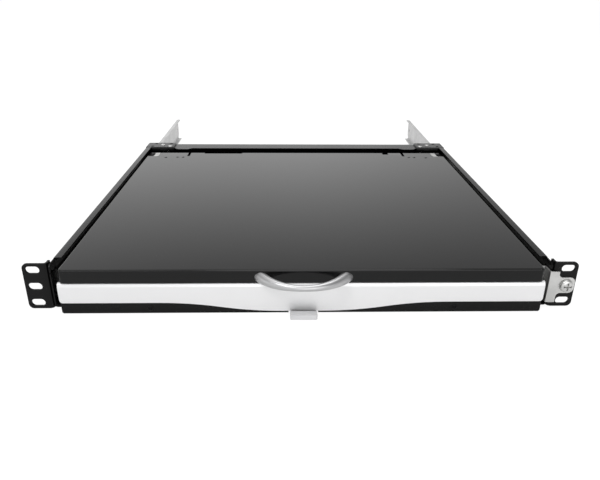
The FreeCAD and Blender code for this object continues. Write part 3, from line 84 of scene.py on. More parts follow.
# Each group of screws, with the number of levels that a screw's corners have along its axis.
SCREW_LEVELS = {"chassis_fasteners": 3, "drawer_fasteners": 3, "lid_fasteners": 3, "lock_screw": 4}

# In a copied mesh, corners nearer than WELD become one corner and faces that turn by less than
# FLAT_DEGREES become one face. Levels that differ by less than SAME are one level, which is the
# last of LEVEL_DIGITS decimals of a metre. What stands out by less than CLEAR isn't proud.
WELD = 0.001 * MM
FLAT_DEGREES = 0.4
SAME = 0.01 * MM
LEVEL_DIGITS = 5
CLEAR = 0.1 * MM
# How far a cutter stands out of what it cuts.
SPARE = 1.0 * MM

# The studio. Heights and the way to the right are parts of a ray's direction, from 0 to 1.
SENSOR_WIDTH = 36.0
FLOOR_REACH = 60.0
FLOOR_GAP = 0.3 * MM
FLOOR_ROUGHNESS = 0.9
WALL_FADE_HEIGHTS = (0.25, 0.62)
CEILING_HEIGHTS = (0.65, 0.9)
RIGHT_FADE_REACH = (0.0, 0.45)

# From a board's underside to just above its upper face, where its chips and plugs begin.
REAR_BOARD_FACE = 2.0 * MM
DISPLAY_BOARD_FACE = 1.8 * MM
# Width of the screen's black border.
SCREEN_BORDER = 5.0 * MM
# Colours of scratches and dust on paint, and how a grain is stretched along each axis.
SCRATCH = (0.12, 0.12, 0.125, 1.0)
DUST = (0.25, 0.25, 0.26, 1.0)
ROLLED = (1.0, 0.02, 1.0)
EVEN = (1.0, 1.0, 1.0)


class Term:
    """A value in a node tree that takes part in plain arithmetic."""

    def __init__(self, owner, socket):
        self.owner = owner
        self.socket = socket

    def maths(self, operation, *others):
        return self.owner.maths(operation, self, *others)

    def reflected(self, operation, other):
        return self.owner.maths(operation, other, self)

    def __add__(self, other):
        return self.maths("ADD", other)

    def __radd__(self, other):
        return self.reflected("ADD", other)

    def __sub__(self, other):
        return self.maths("SUBTRACT", other)

    def __rsub__(self, other):
        return self.reflected("SUBTRACT", other)

    def __mul__(self, other):
        return self.maths("MULTIPLY", other)

    def __rmul__(self, other):
        return self.reflected("MULTIPLY", other)

    def __truediv__(self, other):
        return self.maths("DIVIDE", other)

    def __rtruediv__(self, other):
        return self.reflected("DIVIDE", other)

    def __pow__(self, other):
        return self.maths("POWER", other)

    def __rpow__(self, other):
        return self.reflected("POWER", other)

    def above(self, edge):
        return self.maths("GREATER_THAN", edge)

    def below(self, edge):
        return self.maths("LESS_THAN", edge)

    def size(self):
        return self.maths("ABSOLUTE")

    def between(self, low, high):
        """0 below one value, 1 above another, and smooth between them."""
        return self.owner.node("ShaderNodeMapRange", {"interpolation_type": "SMOOTHSTEP"},
                               {"Value": self, "From Min": low, "From Max": high})


def socket_of(sockets, key):
    """A socket by its identifier, its name or its number."""
    if isinstance(key, str):
        for socket in sockets:
            if socket.identifier == key:
                return socket
    return sockets[key]


class Tree:
    """A node tree that is emptied, and then filled one node at a time."""

    def __init__(self, tree):
        self.tree = tree
        self.tree.nodes.clear()

    def feed(self, socket, value):
        """Gives a socket a value, a link or, where it takes several, a list of links."""
        if isinstance(value, Term):
            self.tree.links.new(value.socket, socket)
        elif isinstance(value, list) and isinstance(value[0], Term):
            for term in value:
                self.tree.links.new(term.socket, socket)
        else:
            socket.default_value = value

    def add(self, kind, settings=None, inputs=None):
        """A new node. Its settings come first, because they can change its sockets."""
        made = self.tree.nodes.new(kind)
        for key, value in (settings or {}).items():
            setattr(made, key, value)
        for key, value in (inputs or {}).items():
            self.feed(socket_of(made.inputs, key), value)
        return made

    def node(self, kind, settings=None, inputs=None, output=0):
        """One output of a new node."""
        return Term(self, socket_of(self.add(kind, settings, inputs).outputs, output))

    def maths(self, operation, *values):
        return self.node("ShaderNodeMath", {"operation": operation}, dict(enumerate(values)))

    def ray(self, kind):
        """1 for rays of one kind, such as Camera, and 0 for all others."""
        return self.node("ShaderNodeLightPath", output="Is %s Ray" % kind)


class Finish(Tree):
    """One material, built from its nodes."""

    def __init__(self, name):
        self.material = bpy.data.materials.new(name)
        self.material.use_nodes = True
        super().__init__(self.material.node_tree)
        self.shader = self.add("ShaderNodeBsdfPrincipled")
        self.own = Term(self, self.shader.outputs[0])
        self.output = self.add("ShaderNodeOutputMaterial", inputs={"Surface": self.own})

    def place(self, stretch=EVEN):
        """Object coordinates, stretched where a pattern runs one way."""
        spot = self.node("ShaderNodeTexCoord", output="Object")
        return self.node("ShaderNodeMapping", {"vector_type": "POINT"},
                         {"Vector": spot, "Scale": stretch})

    def axis(self, name):
        spot = self.node("ShaderNodeTexCoord", output="Object")
        return self.node("ShaderNodeSeparateXYZ", inputs={"Vector": spot}, output=name)

    def noise(self, scale, detail=2.0, roughness=0.5, stretch=EVEN):
        """Smooth random values. The scale is in waves for each metre."""
        inputs = {"Vector": self.place(stretch), "Scale": scale, "Detail": detail,
                  "Roughness": roughness}
        return self.node("ShaderNodeTexNoise", {"noise_dimensions": "3D"}, inputs, "Fac")

    def cells(self, scale, output="Distance"):
        inputs = {"Vector": self.place(), "Scale": scale}
        return self.node("ShaderNodeTexVoronoi", inputs=inputs, output=output)

    def mixed(self, share, first, second):
        """A colour between two others."""
        settings = {"data_type": "RGBA", "clamp_factor": True}
        inputs = {"Factor_Float": share, "A_Color": first, "B_Color": second}
        return self.node("ShaderNodeMix", settings, inputs, "Result_Color")

    def bump(self, height, strength, distance):
        inputs = {"Height": height, "Strength": strength, "Distance": distance}
        return self.node("ShaderNodeBump", inputs=inputs, output="Normal")

    def scratches(self, amount):
        """A few short hair lines, in patches."""
        line = self.noise(900.0, stretch=(0.03, 1.0, 1.0)).between(0.70, 0.76)
        patch = self.noise(18.0).between(0.52, 0.62)
        return line * patch * amount

    def surface(self, **inputs):
        """Sets inputs of the shader by their names, written with underscores."""
        for key, value in inputs.items():
            label = key.replace("_", " ").title().replace("Ior", "IOR")
            self.feed(self.shader.inputs[label], value)
        return self.material


class Pattern(Tree):
    """A Geometry Nodes tree with named inputs that puts a small form on every point of a mesh."""

    def __init__(self, name, kinds):
        super().__init__(bpy.data.node_groups.new(name, "GeometryNodeTree"))
        sockets = self.tree.interface
        sockets.new_socket("Geometry", in_out="INPUT", socket_type="NodeSocketGeometry")
        self.keys = {}
        for label, kind in kinds.items():
            socket = sockets.new_socket(label, in_out="INPUT", socket_type="NodeSocket" + kind)
            self.keys[label] = socket.identifier
        sockets.new_socket("Geometry", in_out="OUTPUT", socket_type="NodeSocketGeometry")
        self.entry = self.add("NodeGroupInput")

    def given(self, label):
        return Term(self, self.entry.outputs[label])

    def attribute(self, name):
        return self.node("GeometryNodeInputNamedAttribute", {"data_type": "FLOAT_VECTOR"},
                         {"Name": name}, "Attribute")

    def vector(self, **parts):
        return self.node("ShaderNodeCombineXYZ", inputs=parts)

    def box(self, size, middle):
        """A box in a place."""
        box = self.node("GeometryNodeMeshCube", inputs={"Size": size})
        return self.node("GeometryNodeTransform", inputs={"Geometry": box, "Translation": middle})

    def close(self, form):
        """Puts the form on every point, makes one mesh of it with its finish, and ends the tree."""
        forms = self.node("GeometryNodeInstanceOnPoints",
                          inputs={"Points": self.given("Geometry"), **form})
        mesh = self.node("GeometryNodeRealizeInstances", inputs={"Geometry": forms})
        done = self.node("GeometryNodeSetMaterial",
                         inputs={"Geometry": mesh, "Material": self.given("Finish")})
        self.add("NodeGroupOutput", inputs={0: done})

    def grown(self, name, points, values):
        """A plain mesh object from the pattern over some points."""
        piece = bpy.data.objects.new(name, points)
        bpy.context.scene.collection.objects.link(piece)
        modifier = piece.modifiers.new("pattern", "NODES")
        modifier.node_group = self.tree
        for label, value in values.items():
            modifier[self.keys[label]] = value
        settle(piece)
        return piece


def tinted(colour, factor, lift=0.0):
    """A colour made lighter or darker."""
    return [min(1.0, channel * factor + lift) for channel in colour[:3]] + [1.0]


def powder_coat(name, colour, roughness):
    """Fine-textured black powder coat, with a faint cloudiness and a few hair scratches."""
    finish = Finish(name)
    grain = finish.noise(2600.0, detail=3.0, roughness=0.6)
    cloud = finish.noise(14.0, detail=3.0).between(0.3, 0.75)
    coat = finish.mixed(cloud, colour, tinted(colour, 1.35))
    return finish.surface(
        base_color=finish.mixed(finish.scratches(0.35), coat, SCRATCH),
        roughness=roughness + 0.10 * (grain - 0.5) + 0.04 * cloud,
        specular_ior_level=0.16,
        normal=finish.bump(grain, strength=0.15, distance=0.12 * MM),
    )


def smooth_paint(name, colour, roughness):
    """Semi-gloss paint over sheet metal, with a slow waviness, dust and hair-fine scratches."""
    finish = Finish(name)
    peel = finish.noise(420.0)
    waves = finish.noise(9.0)
    hair = finish.noise(160.0, detail=5.0, roughness=0.7, stretch=(0.05, 1.0, 1.0))
    scratch = hair.between(0.66, 0.72)
    speck = finish.cells(160.0).below(0.035)
    return finish.surface(
        base_color=finish.mixed(speck * 0.20 + scratch * 0.03, colour, DUST),
        roughness=roughness + 0.05 * (waves - 0.5) + 0.04 * scratch + 0.1 * speck,
        specular_ior_level=0.25,
        normal=finish.bump(0.8 * peel + 0.2 * waves, strength=0.05, distance=0.10 * MM),
    )


def silver_paint(name, colour, roughness):
    """Light silver paint with fine flakes."""
    finish = Finish(name)
    flake = finish.cells(3800.0, output="Color")
    grey = finish.node("ShaderNodeRGBToBW", inputs={"Color": flake})
    cloud = finish.noise(18.0)
    return finish.surface(
        base_color=finish.mixed(0.25 * grey + 0.35 * cloud, colour, tinted(colour, 0.93)),
        roughness=roughness + 0.10 * grey,
        metallic=0.45,
        normal=finish.bump(grey, strength=0.05, distance=0.05 * MM),
    )


def plated(name, colour, roughness, grain_way=ROLLED):
    """Plated steel with a fine grain, rolled one way or even, and faint spangle."""
    finish = Finish(name)
    grain = finish.noise(1500.0, detail=3.0, roughness=0.6, stretch=grain_way)
    cloud = finish.noise(45.0, detail=4.0, roughness=0.6)
    shade_share = 0.5 * grain + 0.5 * cloud.between(0.35, 0.7)
    return finish.surface(
        base_color=finish.mixed(shade_share, colour, tinted(colour, 0.72)),
        roughness=roughness + 0.18 * (grain - 0.5) + 0.10 * (cloud - 0.5),
        metallic=0.9,
        normal=finish.bump(grain, strength=0.08, distance=0.05 * MM),
    )


def polished(name, colour, roughness):
    """Bright metal with a soft satin."""
    finish = Finish(name)
    cloud = finish.noise(120.0, detail=3.0)
    grain = finish.noise(2400.0)
    return finish.surface(
        base_color=finish.mixed(cloud, colour, tinted(colour, 0.86)),
        roughness=roughness + 0.08 * (grain - 0.5) + 0.05 * (cloud - 0.5),
        metallic=1.0,
        normal=finish.bump(grain, strength=0.04, distance=0.04 * MM),
    )


def moulded(name, colour, roughness, grain_scale=1700.0, depth=0.10 * MM):
    """Moulded plastic with a spark-eroded grain."""
    finish = Finish(name)
    grain = finish.noise(grain_scale, detail=3.0, roughness=0.6)
    cloud = finish.noise(25.0)
    light = tinted(colour, 1.25, lift=0.002)
    return finish.surface(
        base_color=finish.mixed(0.3 * grain + 0.3 * cloud, colour, light),
        roughness=roughness + 0.12 * (grain - 0.5) + 0.05 * (cloud - 0.5),
        specular_ior_level=0.35,
        normal=finish.bump(grain, strength=0.3, distance=depth),
    )


def board_green(name, mask, copper, tin, chip_black):
    """Circuit board: solder mask with tracks and pads, and black chips and plugs on top of it."""
    finish = Finish(name)
    height = finish.axis("Z")
    rear_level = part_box("io_board")[0].z + REAR_BOARD_FACE
    display_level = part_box("display_board")[0].z + DISPLAY_BOARD_FACE
    chip = height.above(rear_level) * height.below(0.0) + height.above(display_level)
    waves = {"Vector": finish.place(), "Scale": 190.0, "Distortion": 3.5, "Detail": 0.0}
    along = finish.node("ShaderNodeTexWave", {"bands_direction": "X"}, waves, "Fac")
    track = along.between(0.62, 0.7)
    pad = finish.cells(260.0).below(0.16)
    board = finish.mixed(pad, finish.mixed(0.7 * track, mask, copper), tin)
    return finish.surface(
        base_color=finish.mixed(chip, board, chip_black),
        roughness=0.35 - 0.1 * pad + 0.15 * chip,
        normal=finish.bump(track * (1.0 - chip), strength=0.3, distance=0.05 * MM),
    )


def screen_face(name, border_black, dark, light):
    """Dark anti-glare screen, with a black border round its picture area."""
    finish = Finish(name)
    low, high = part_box("display_glass")
    along = finish.axis("Y")
    inside = (finish.axis("X").size().below(high.x - SCREEN_BORDER)
              * along.above(low.y + SCREEN_BORDER) * along.below(high.y - SCREEN_BORDER))
    grain = finish.noise(3000.0, detail=1.0)
    picture = finish.mixed(finish.noise(6.0, detail=1.0), dark, light)
    return finish.surface(
        base_color=finish.mixed(inside, border_black, picture),
        roughness=0.22 + 0.08 * inside + 0.05 * (grain - 0.5),
        normal=finish.bump(grain, strength=0.05, distance=0.03 * MM),
    )


FINISHES = {}


def make_finishes(settings):
    """Every finish, by the record's slot name."""
    tone = {name: tuple(getattr(settings, name)) for name in FinishSettings.__annotations__}
    FINISHES.update({
        "black_paint": powder_coat("black powder coat", tone["black_paint"], roughness=0.24),
        "lid_paint": smooth_paint("lid paint", tone["lid_paint"], roughness=0.13),
        "zinc": plated("zinc plate", tone["zinc"], roughness=0.34),
        "galvanised": plated("galvanised steel", tone["galvanised"], roughness=0.40),
        "silver_trim": silver_paint("silver paint", tone["silver_trim"], roughness=0.36),
        "handle_metal": polished("satin nickel", tone["handle_metal"], roughness=0.36),
        "light_plastic": moulded("light plastic", tone["light_plastic"], roughness=0.38),
        "black_plastic": moulded("black plastic", tone["black_plastic"], roughness=0.48),
        "key_plastic": moulded("key plastic", tone["key_plastic"], roughness=0.42,
                               grain_scale=2300.0, depth=0.06 * MM),
        "pad_plastic": moulded("touch surface", tone["pad_plastic"], roughness=0.5,
                               grain_scale=3200.0, depth=0.04 * MM),
        "rubber": moulded("rubber", tone["rubber"], roughness=0.75,
                          grain_scale=900.0, depth=0.15 * MM),
        "circuit_board": board_green("circuit board", tone["board_mask"], tone["board_track"],
                                     tone["board_pad"], tone["board_chip"]),
        "ball_steel": polished("ball steel", tone["ball_steel"], roughness=0.10),
        "screen_glass": screen_face("screen", tone["screen_border"], tone["screen_dark"],
                                    tone["screen_light"]),
        "module_plastic": plated("display can", tone["module_plastic"], roughness=0.42),
        "dark_screw": plated("black oxide", tone["dark_screw"], roughness=0.30, grain_way=EVEN),
    })


def make_piece(name, mesh):
    """A new object from a mesh in the making."""
    data = bpy.data.meshes.new(name)
    mesh.to_mesh(data)
    mesh.free()
    piece = bpy.data.objects.new(name, data)
    bpy.context.scene.collection.objects.link(piece)
    return piece


def settle(piece):
    """Makes the result of a piece's modifiers its own mesh."""
    graph = bpy.context.evaluated_depsgraph_get()
    data = bpy.data.meshes.new_from_object(piece.evaluated_get(graph))
    piece.modifiers.clear()
    old = piece.data
    piece.data = data
    bpy.data.meshes.remove(old)


def cut(piece, cutters):
    """Takes other pieces out of a piece, and removes them."""
    for cutter in cutters:
        modifier = piece.modifiers.new("cut", "BOOLEAN")
        modifier.operation = "DIFFERENCE"
        modifier.solver = "MANIFOLD"
        modifier.object = cutter
    settle(piece)
    for cutter in cutters:
        bpy.data.objects.remove(cutter)


def soften(piece, width, segments=2, turn_degrees=25.0):
    """Rounds the edges of a piece that turn by more than an angle."""
    bevel = piece.modifiers.new("soft edges", "BEVEL")
    bevel.width = width
    bevel.segments = segments
    bevel.limit_method = "ANGLE"
    bevel.angle_limit = math.radians(turn_degrees)
    bevel.use_clamp_overlap = True
    settle(piece)


def shade(piece, sharp_degrees=40.0):
    """Smooth shading up to an angle, with the large flat faces kept flat."""
    piece.data.shade_smooth()
    piece.data.set_sharp_from_angle(angle=math.radians(sharp_degrees))
    weighted = piece.modifiers.new("flats", "WEIGHTED_NORMAL")
    weighted.keep_sharp = True
    settle(piece)


def dress(piece, node):
    """Gives a piece the finish and the body of a CAD node."""
    slot = NODE_SLOT[node]
    piece.data.materials.clear()
    piece.data.materials.append(FINISHES[slot])
    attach(piece, NODE_BODY[node])


def install(piece, node):
    """Lets a piece stand for a CAD node."""
    dress(piece, node)
    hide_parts(node)


def joined_mesh(node):
    """A copy of a node's mesh, with its loose triangles joined and its flat faces whole."""
    mesh = bmesh.new()
    mesh.from_mesh(frame["nodes"][node].data)
    bmesh.ops.remove_doubles(mesh, verts=mesh.verts, dist=WELD)
    bmesh.ops.dissolve_limit(mesh, angle_limit=math.radians(FLAT_DEGREES), verts=mesh.verts[:],
                             edges=mesh.edges[:])
    return mesh


def soft_copy(node, kind, width, segments=2):
    """Makes a CAD node again with soft edges."""
    piece = make_piece(node + kind, joined_mesh(node))
    soften(piece, width, segments)
    shade(piece)
    install(piece, node)


def prism(outline, way):
    """A closed prism from the corners of its base and the way to its other end."""
    mesh = bmesh.new()
    base = mesh.faces.new([mesh.verts.new(corner) for corner in outline])
    grown = bmesh.ops.extrude_face_region(mesh, geom=[base])
    corners = [item for item in grown["geom"] if isinstance(item, bmesh.types.BMVert)]
    bmesh.ops.translate(mesh, verts=corners, vec=way)
    bmesh.ops.recalc_face_normals(mesh, faces=mesh.faces)
    return mesh


def loose_parts(mesh):
    """The corners of each solid of a joined mesh, in the mesh's own order."""
    known = set()
    groups = []
    for first in mesh.verts:
        if first in known:
            continue
        known.add(first)
        group = [first]
        for corner in group:
            for edge in corner.link_edges:
                other = edge.other_vert(corner)
                if other not in known:
                    known.add(other)
                    group.append(other)
        groups.append(group)
    return groups


def middle_of(corners):
    """The middle of the box round some corners."""
    low = Vector([min(corner.co[axis] for corner in corners) for axis in range(3)])
    high = Vector([max(corner.co[axis] for corner in corners) for axis in range(3)])
    return (low + high) / 2


def point_mesh(name, places, vectors):
    """A mesh of loose points, each with some named vectors."""
    data = bpy.data.meshes.new(name)
    data.from_pydata(places, [], [])
    for label, values in vectors.items():
        attribute = data.attributes.new(label, "FLOAT_VECTOR", "POINT")
        for item, value in zip(attribute.data, values):
            item.vector = value
    return data


def length_setting(name, description, millimetres):
    """A length, kept in metres."""
    return bpy.props.FloatProperty(name=name, description=description, unit="LENGTH",
                                   default=millimetres * MM)


def number_setting(name, description, default):
    return bpy.props.FloatProperty(name=name, description=description, default=default)


def share_setting(name, description, default):
    """A share of something, from 0 to 1."""
    return bpy.props.FloatProperty(name=name, description=description, subtype="FACTOR",
                                   default=default)


def count_setting(name, description, default):
    return bpy.props.IntProperty(name=name, description=description, default=default)


def colour_setting(name, description, *channels):
    """An opaque colour, from its linear red, green and blue."""
    return bpy.props.FloatVectorProperty(name=name, description=description, subtype="COLOR",
                                         size=4, default=(*channels, 1.0))


class StageSettings(bpy.types.PropertyGroup):
    """Camera, lamps, floor and the walls that the pieces mirror."""

    camera_place: bpy.props.FloatVectorProperty(
        name="Camera place", description="Where the photograph's camera stood",
        subtype="TRANSLATION", unit="LENGTH", default=(-0.015476, -0.446749, 0.242593))
    camera_turn: bpy.props.FloatVectorProperty(
        name="Camera turn", description="Pitch below level, yaw to the right and roll",
        subtype="EULER", unit="ROTATION",
        default=(math.radians(23.992), math.radians(1.566), math.radians(0.523)))
    focal_length: number_setting(
        "Focal length", "In millimetres, on a sensor 36 mm wide", 34.6646)
    key_power: number_setting("Key lamp", "Power of the lamp in front on the left, in watts", 15.0)
    front_power: number_setting("Front lamp", "Power of the low lamp in front, in watts", 13.0)
    top_power: number_setting("Top lamp", "Power of the lamp above, in watts", 14.0)
    world_strength: number_setting("World strength", "How much the studio walls light", 0.62)
    mirrored_walls: number_setting(
        "Mirrored walls", "How bright the studio walls look in a gloss", 1.32)
    wall_fade: number_setting("Wall fade", "What the mirrored walls lose above eye level", 0.88)
    ceiling_gain: number_setting(
        "Ceiling gain", "What the mirrored ceiling has more than the walls' upper part", 0.8)
    right_fade: share_setting(
        "Right fade", "Share that the mirrored walls lose towards the right", 0.4)
    floor_colour: colour_setting("Floor colour", "Colour of the floor", 0.9, 0.9, 0.9)
    floor_glow: share_setting(
        "Floor glow", "Share of plain white that the camera sees in the floor", 0.80)
    mirrored_glow: share_setting(
        "Mirrored glow", "Share of that white that a gloss mirrors", 0.5)
    glow_strength: number_setting("Glow strength", "How bright the plain white is", 1.12)


class FinishSettings(bpy.types.PropertyGroup):
    """Colours of the finishes."""

    black_paint: colour_setting(
        "Black paint", "Powder coat of chassis, ears and drawer", 0.0025, 0.0025, 0.0026)
    lid_paint: colour_setting("Lid paint", "Paint of the lid", 0.0018, 0.0018, 0.0019)
    zinc: colour_setting("Zinc", "Plating of slides, bracket and screws", 0.61, 0.61, 0.60)
    galvanised: colour_setting("Galvanised", "Zinc of the rear rails", 0.60, 0.60, 0.60)
    silver_trim: colour_setting("Silver trim", "Paint of the front trim", 0.755, 0.755, 0.76)
    handle_metal: colour_setting("Handle metal", "Satin metal of the handle", 0.48, 0.48, 0.485)
    light_plastic: colour_setting(
        "Light plastic", "Plastic of the release tab", 0.55, 0.55, 0.56)
    black_plastic: colour_setting(
        "Black plastic", "Plastic of keyboard deck and bezel", 0.013, 0.013, 0.0135)
    key_plastic: colour_setting("Key plastic", "Plastic of keys and buttons", 0.009, 0.009, 0.0095)
    pad_plastic: colour_setting("Pad plastic", "Touchpad and its buttons", 0.020, 0.020, 0.022)
    rubber: colour_setting("Rubber", "Bumpers and keyboard membrane", 0.014, 0.014, 0.014)
    ball_steel: colour_setting("Ball steel", "Balls of the slides", 0.75, 0.75, 0.76)
    module_plastic: colour_setting("Display can", "Can of the display", 0.60, 0.60, 0.61)
    dark_screw: colour_setting(
        "Dark screw", "Black oxide of small screws and hinge bases", 0.012, 0.012, 0.013)
    board_mask: colour_setting("Board mask", "Solder mask of the boards", 0.010, 0.07, 0.03)
    board_track: colour_setting("Board track", "Tracks under the mask", 0.03, 0.17, 0.07)
    board_pad: colour_setting("Board pad", "Tinned pads", 0.62, 0.60, 0.52)
    board_chip: colour_setting("Board chip", "Chips and plugs", 0.012, 0.012, 0.013)
    screen_border: colour_setting("Screen border", "Border of the screen", 0.004, 0.004, 0.004)
    screen_dark: colour_setting(
        "Screen, dark", "Darker tone of the picture area", 0.014, 0.016, 0.021)
    screen_light: colour_setting(
        "Screen, light", "Lighter tone of the picture area", 0.021, 0.023, 0.029)


class EdgeSettings(bpy.types.PropertyGroup):
    """How round the edges are."""

    sheet_edge: length_setting("Sheet edge", "Width of the rounding on sheet metal", 0.18)
    moulded_edge: length_setting("Moulded edge", "Width of the rounding on moulded pieces", 0.35)


class PlateSettings(bpy.types.PropertyGroup):
    """Slots and corners of the ears and the lock bracket, a hair larger than the solids' own."""

    slot_inset: length_setting("Slot inset", "From an ear's outer edge to its slots", 8.75)
    slot_rise: length_setting("Slot rise", "From the middle slot to the others", 15.875)
    slot_length: length_setting("Slot length", "Length of a slot", 12.02)
    slot_height: length_setting("Slot height", "Height of a slot", 6.82)
    ear_corner: length_setting("Ear corner", "Corner radius of an ear", 4.4)
    tongue_half_height: length_setting(
        "Tongue half height", "Half height of the bracket's tongue", 7.7)
    tongue_corner: length_setting("Tongue corner", "Corner radius of the tongue", 4.95)
    tongue_length: length_setting(
        "Tongue length", "From the bracket's strip to the end of the tongue", 15.0)
    tongue_fillet: length_setting(
        "Tongue fillet", "Inner radius between strip and tongue", 3.5)
    cut_depth: length_setting(
        "Cut depth", "Reach of the ear's cutters before and behind its face", 3.0)
    end_steps: count_setting("End steps", "Sides of a slot's round end", 16)
    corner_steps: count_setting("Corner steps", "Sides of a round corner", 12)
    fillet_sides: count_setting("Fillet sides", "Sides of the round cutter of a fillet", 24)


class TrimSettings(bpy.types.PropertyGroup):
    """The sloping band along the top of the silver trim."""

    band_height: length_setting("Band height", "Height of the band", 3.3)
    band_slope: number_setting("Band slope", "How far the band leans back for its height", 0.41)
    lip: length_setting("Lip", "Height of the trim's upper lip, which leans back whole", 1.0)


class ShoulderSettings(bpy.types.PropertyGroup):
    """The plates that close the chassis sides in front."""

    flange_front: length_setting("Flange front", "Where the side flanges begin", 14.5)
    drop: length_setting("Drop", "From the top of the chassis down to the plate", 1.3)
    height: length_setting("Height", "Height of the plate", 9.0)
    slope: length_setting("Slope", "Bevel at the plate's upper front corner", 2.0)
    sheet: length_setting("Sheet", "Thickness of the plate", 1.2)


class KeySettings(bpy.types.PropertyGroup):
    """The tops of the keys."""

    edge: length_setting("Edge", "Width of the rounding on the keys", 0.5)
    rim: length_setting("Rim", "Width of the rim round a key's hollow", 1.6)
    hollow: length_setting("Hollow", "Depth of the hollow on a key", 0.45)


class HandleSettings(bpy.types.PropertyGroup):
    """The crescent handle."""

    foot_radius: length_setting("Foot radius", "Radius where the handle meets the lid", 5.1)
    middle_radius: length_setting("Middle radius", "Radius at the middle", 2.5)
    half_span: length_setting("Half span", "From the middle to the centre of a foot", 36.0)
    growth: number_setting(
        "Growth", "1 for an even taper, more for one that starts near the feet", 1.6)
    foot_turn: share_setting(
        "Foot turn", "Share of the handle in which a section turns square to it", 0.2)
    steps: count_setting("Steps", "Rings along the handle", 72)
    sides: count_setting("Sides", "Sides round the handle", 48)


class ScrewSettings(bpy.types.PropertyGroup):
    """The head of a cross-recessed pan head screw, as shares of its radius and height."""

    sides: count_setting("Sides", "Sides round a head", 40)
    rings: count_setting("Rings", "Rings of the ball that a head is made from", 24)
    squareness: number_setting(
        "Squareness", "2 for a round dome, more for a flat top with steep sides", 3.2)
    recess_reach: share_setting("Recess reach", "Half length of the cross", 0.58)
    recess_width: share_setting("Recess width", "Width of the cross", 0.24)
    recess_floor: share_setting("Recess floor", "Height of the cross's floor", 0.35)


class BallSettings(bpy.types.PropertyGroup):
    """How finely the balls of the slides are made."""

    segments: count_setting("Segments", "Sides round a ball", 24)
    rings: count_setting("Rings", "Rings from pole to pole", 14)


def camera_matrix(place, turn):
    """The camera's matrix from its place, pitch below level, yaw to the right and roll."""
    pitch, yaw, roll = turn
    level = math.cos(pitch)
    ahead = Vector((math.sin(yaw) * level, math.cos(yaw) * level, -math.sin(pitch)))
    right = Vector((math.cos(yaw), -math.sin(yaw), 0.0))
    up = right.cross(ahead)
    rolled_right = right * math.cos(roll) + up * math.sin(roll)
    rolled_up = up * math.cos(roll) - right * math.sin(roll)
    turned = Matrix((rolled_right, rolled_up, -ahead)).transposed().to_4x4()
    return Matrix.Translation(place) @ turned


class CONSOLE_OT_stage(bpy.types.Operator):
    """Make the camera, the floor, the lamps and the world"""
    bl_idname = "console.stage"
    bl_label = "Stage"

    def execute(self, context):
        settings = context.scene.console_stage
        lens = bpy.data.cameras.new("camera")
        lens.lens = settings.focal_length
        lens.sensor_width = SENSOR_WIDTH
        camera = bpy.data.objects.new("camera", lens)
        context.scene.collection.objects.link(camera)
        camera.matrix_world = camera_matrix(Vector(settings.camera_place), settings.camera_turn)
        context.scene.camera = camera
        self.make_floor(context, settings)
        self.make_world(context, settings)
        self.make_lamp(context, "key lamp", settings.key_power,
                       place=(-0.9, -1.1, 1.9), target=(0.0, 0.1, 0.0), size=0.8)
        self.make_lamp(context, "front lamp", settings.front_power,
                       place=(0.5, -1.9, 0.7), target=(0.0, 0.0, 0.0), size=1.8)
        self.make_lamp(context, "top lamp", settings.top_power,
                       place=(0.2, 0.9, 2.4), target=(0.0, 0.3, 0.0), size=1.4)
        context.scene.view_settings.view_transform = "Standard"
        return {"FINISHED"}

    def make_floor(self, context, settings):
        """A wide pale floor just under the chassis, which looks nearly white and keeps shadows."""
        data = bpy.data.meshes.new("floor")
        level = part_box("chassis_tray")[0].z - FLOOR_GAP
        ways = ((-1, -1), (1, -1), (1, 1), (-1, 1))
        corners = [(way_x * FLOOR_REACH, way_y * FLOOR_REACH, level) for way_x, way_y in ways]
        data.from_pydata(corners, [], [(0, 1, 2, 3)])
        floor = bpy.data.objects.new("floor", data)
        context.scene.collection.objects.link(floor)
        finish = Finish("floor")
        finish.surface(base_color=tuple(settings.floor_colour), roughness=FLOOR_ROUGHNESS)
        glow = finish.node("ShaderNodeEmission",
                           inputs={"Color": WHITE, "Strength": settings.glow_strength})
        seen = finish.ray("Camera") + finish.ray("Transmission")
        share = (seen + finish.ray("Glossy") * settings.mirrored_glow) * settings.floor_glow
        blend = finish.node("ShaderNodeMixShader", inputs={0: share, 1: finish.own, 2: glow})
        finish.feed(finish.output.inputs["Surface"], blend)
        data.materials.append(finish.material)

    def make_world(self, context, settings):
        """White to the camera, soft light for the pieces, and shaded walls where they mirror."""
        world = bpy.data.worlds.new("studio")
        context.scene.world = world
        world.use_nodes = True
        studio = Tree(world.node_tree)
        seen = studio.maths("MAXIMUM", studio.ray("Camera"), studio.ray("Transmission"))
        heading = studio.node("ShaderNodeTexCoord", output="Generated")
        right, up = (studio.node("ShaderNodeSeparateXYZ", inputs={"Vector": heading}, output=axis)
                     for axis in "XZ")
        walls = settings.mirrored_walls - settings.wall_fade * up.between(*WALL_FADE_HEIGHTS)
        walls = walls + settings.ceiling_gain * up.between(*CEILING_HEIGHTS)
        walls = walls * (1.0 - settings.right_fade * right.between(*RIGHT_FADE_REACH))
        dim = settings.world_strength
        strength = dim + studio.ray("Glossy") * (walls - dim)
        strength = strength + seen * (1.0 - strength)
        light = studio.node("ShaderNodeBackground", inputs={"Color": WHITE, "Strength": strength})
        studio.add("ShaderNodeOutputWorld", inputs={"Surface": light})

    def make_lamp(self, context, name, power, place, target, size):
        """A round lamp of some size, with its power in watts."""
        data = bpy.data.lights.new(name, "AREA")
        data.shape = "DISK"
        data.size = size
        data.energy = power
        lamp = bpy.data.objects.new(name, data)
        context.scene.collection.objects.link(lamp)
        aim = (Vector(target) - Vector(place)).to_track_quat("-Z", "Y")
        lamp.matrix_world = Matrix.Translation(place) @ aim.to_matrix().to_4x4()


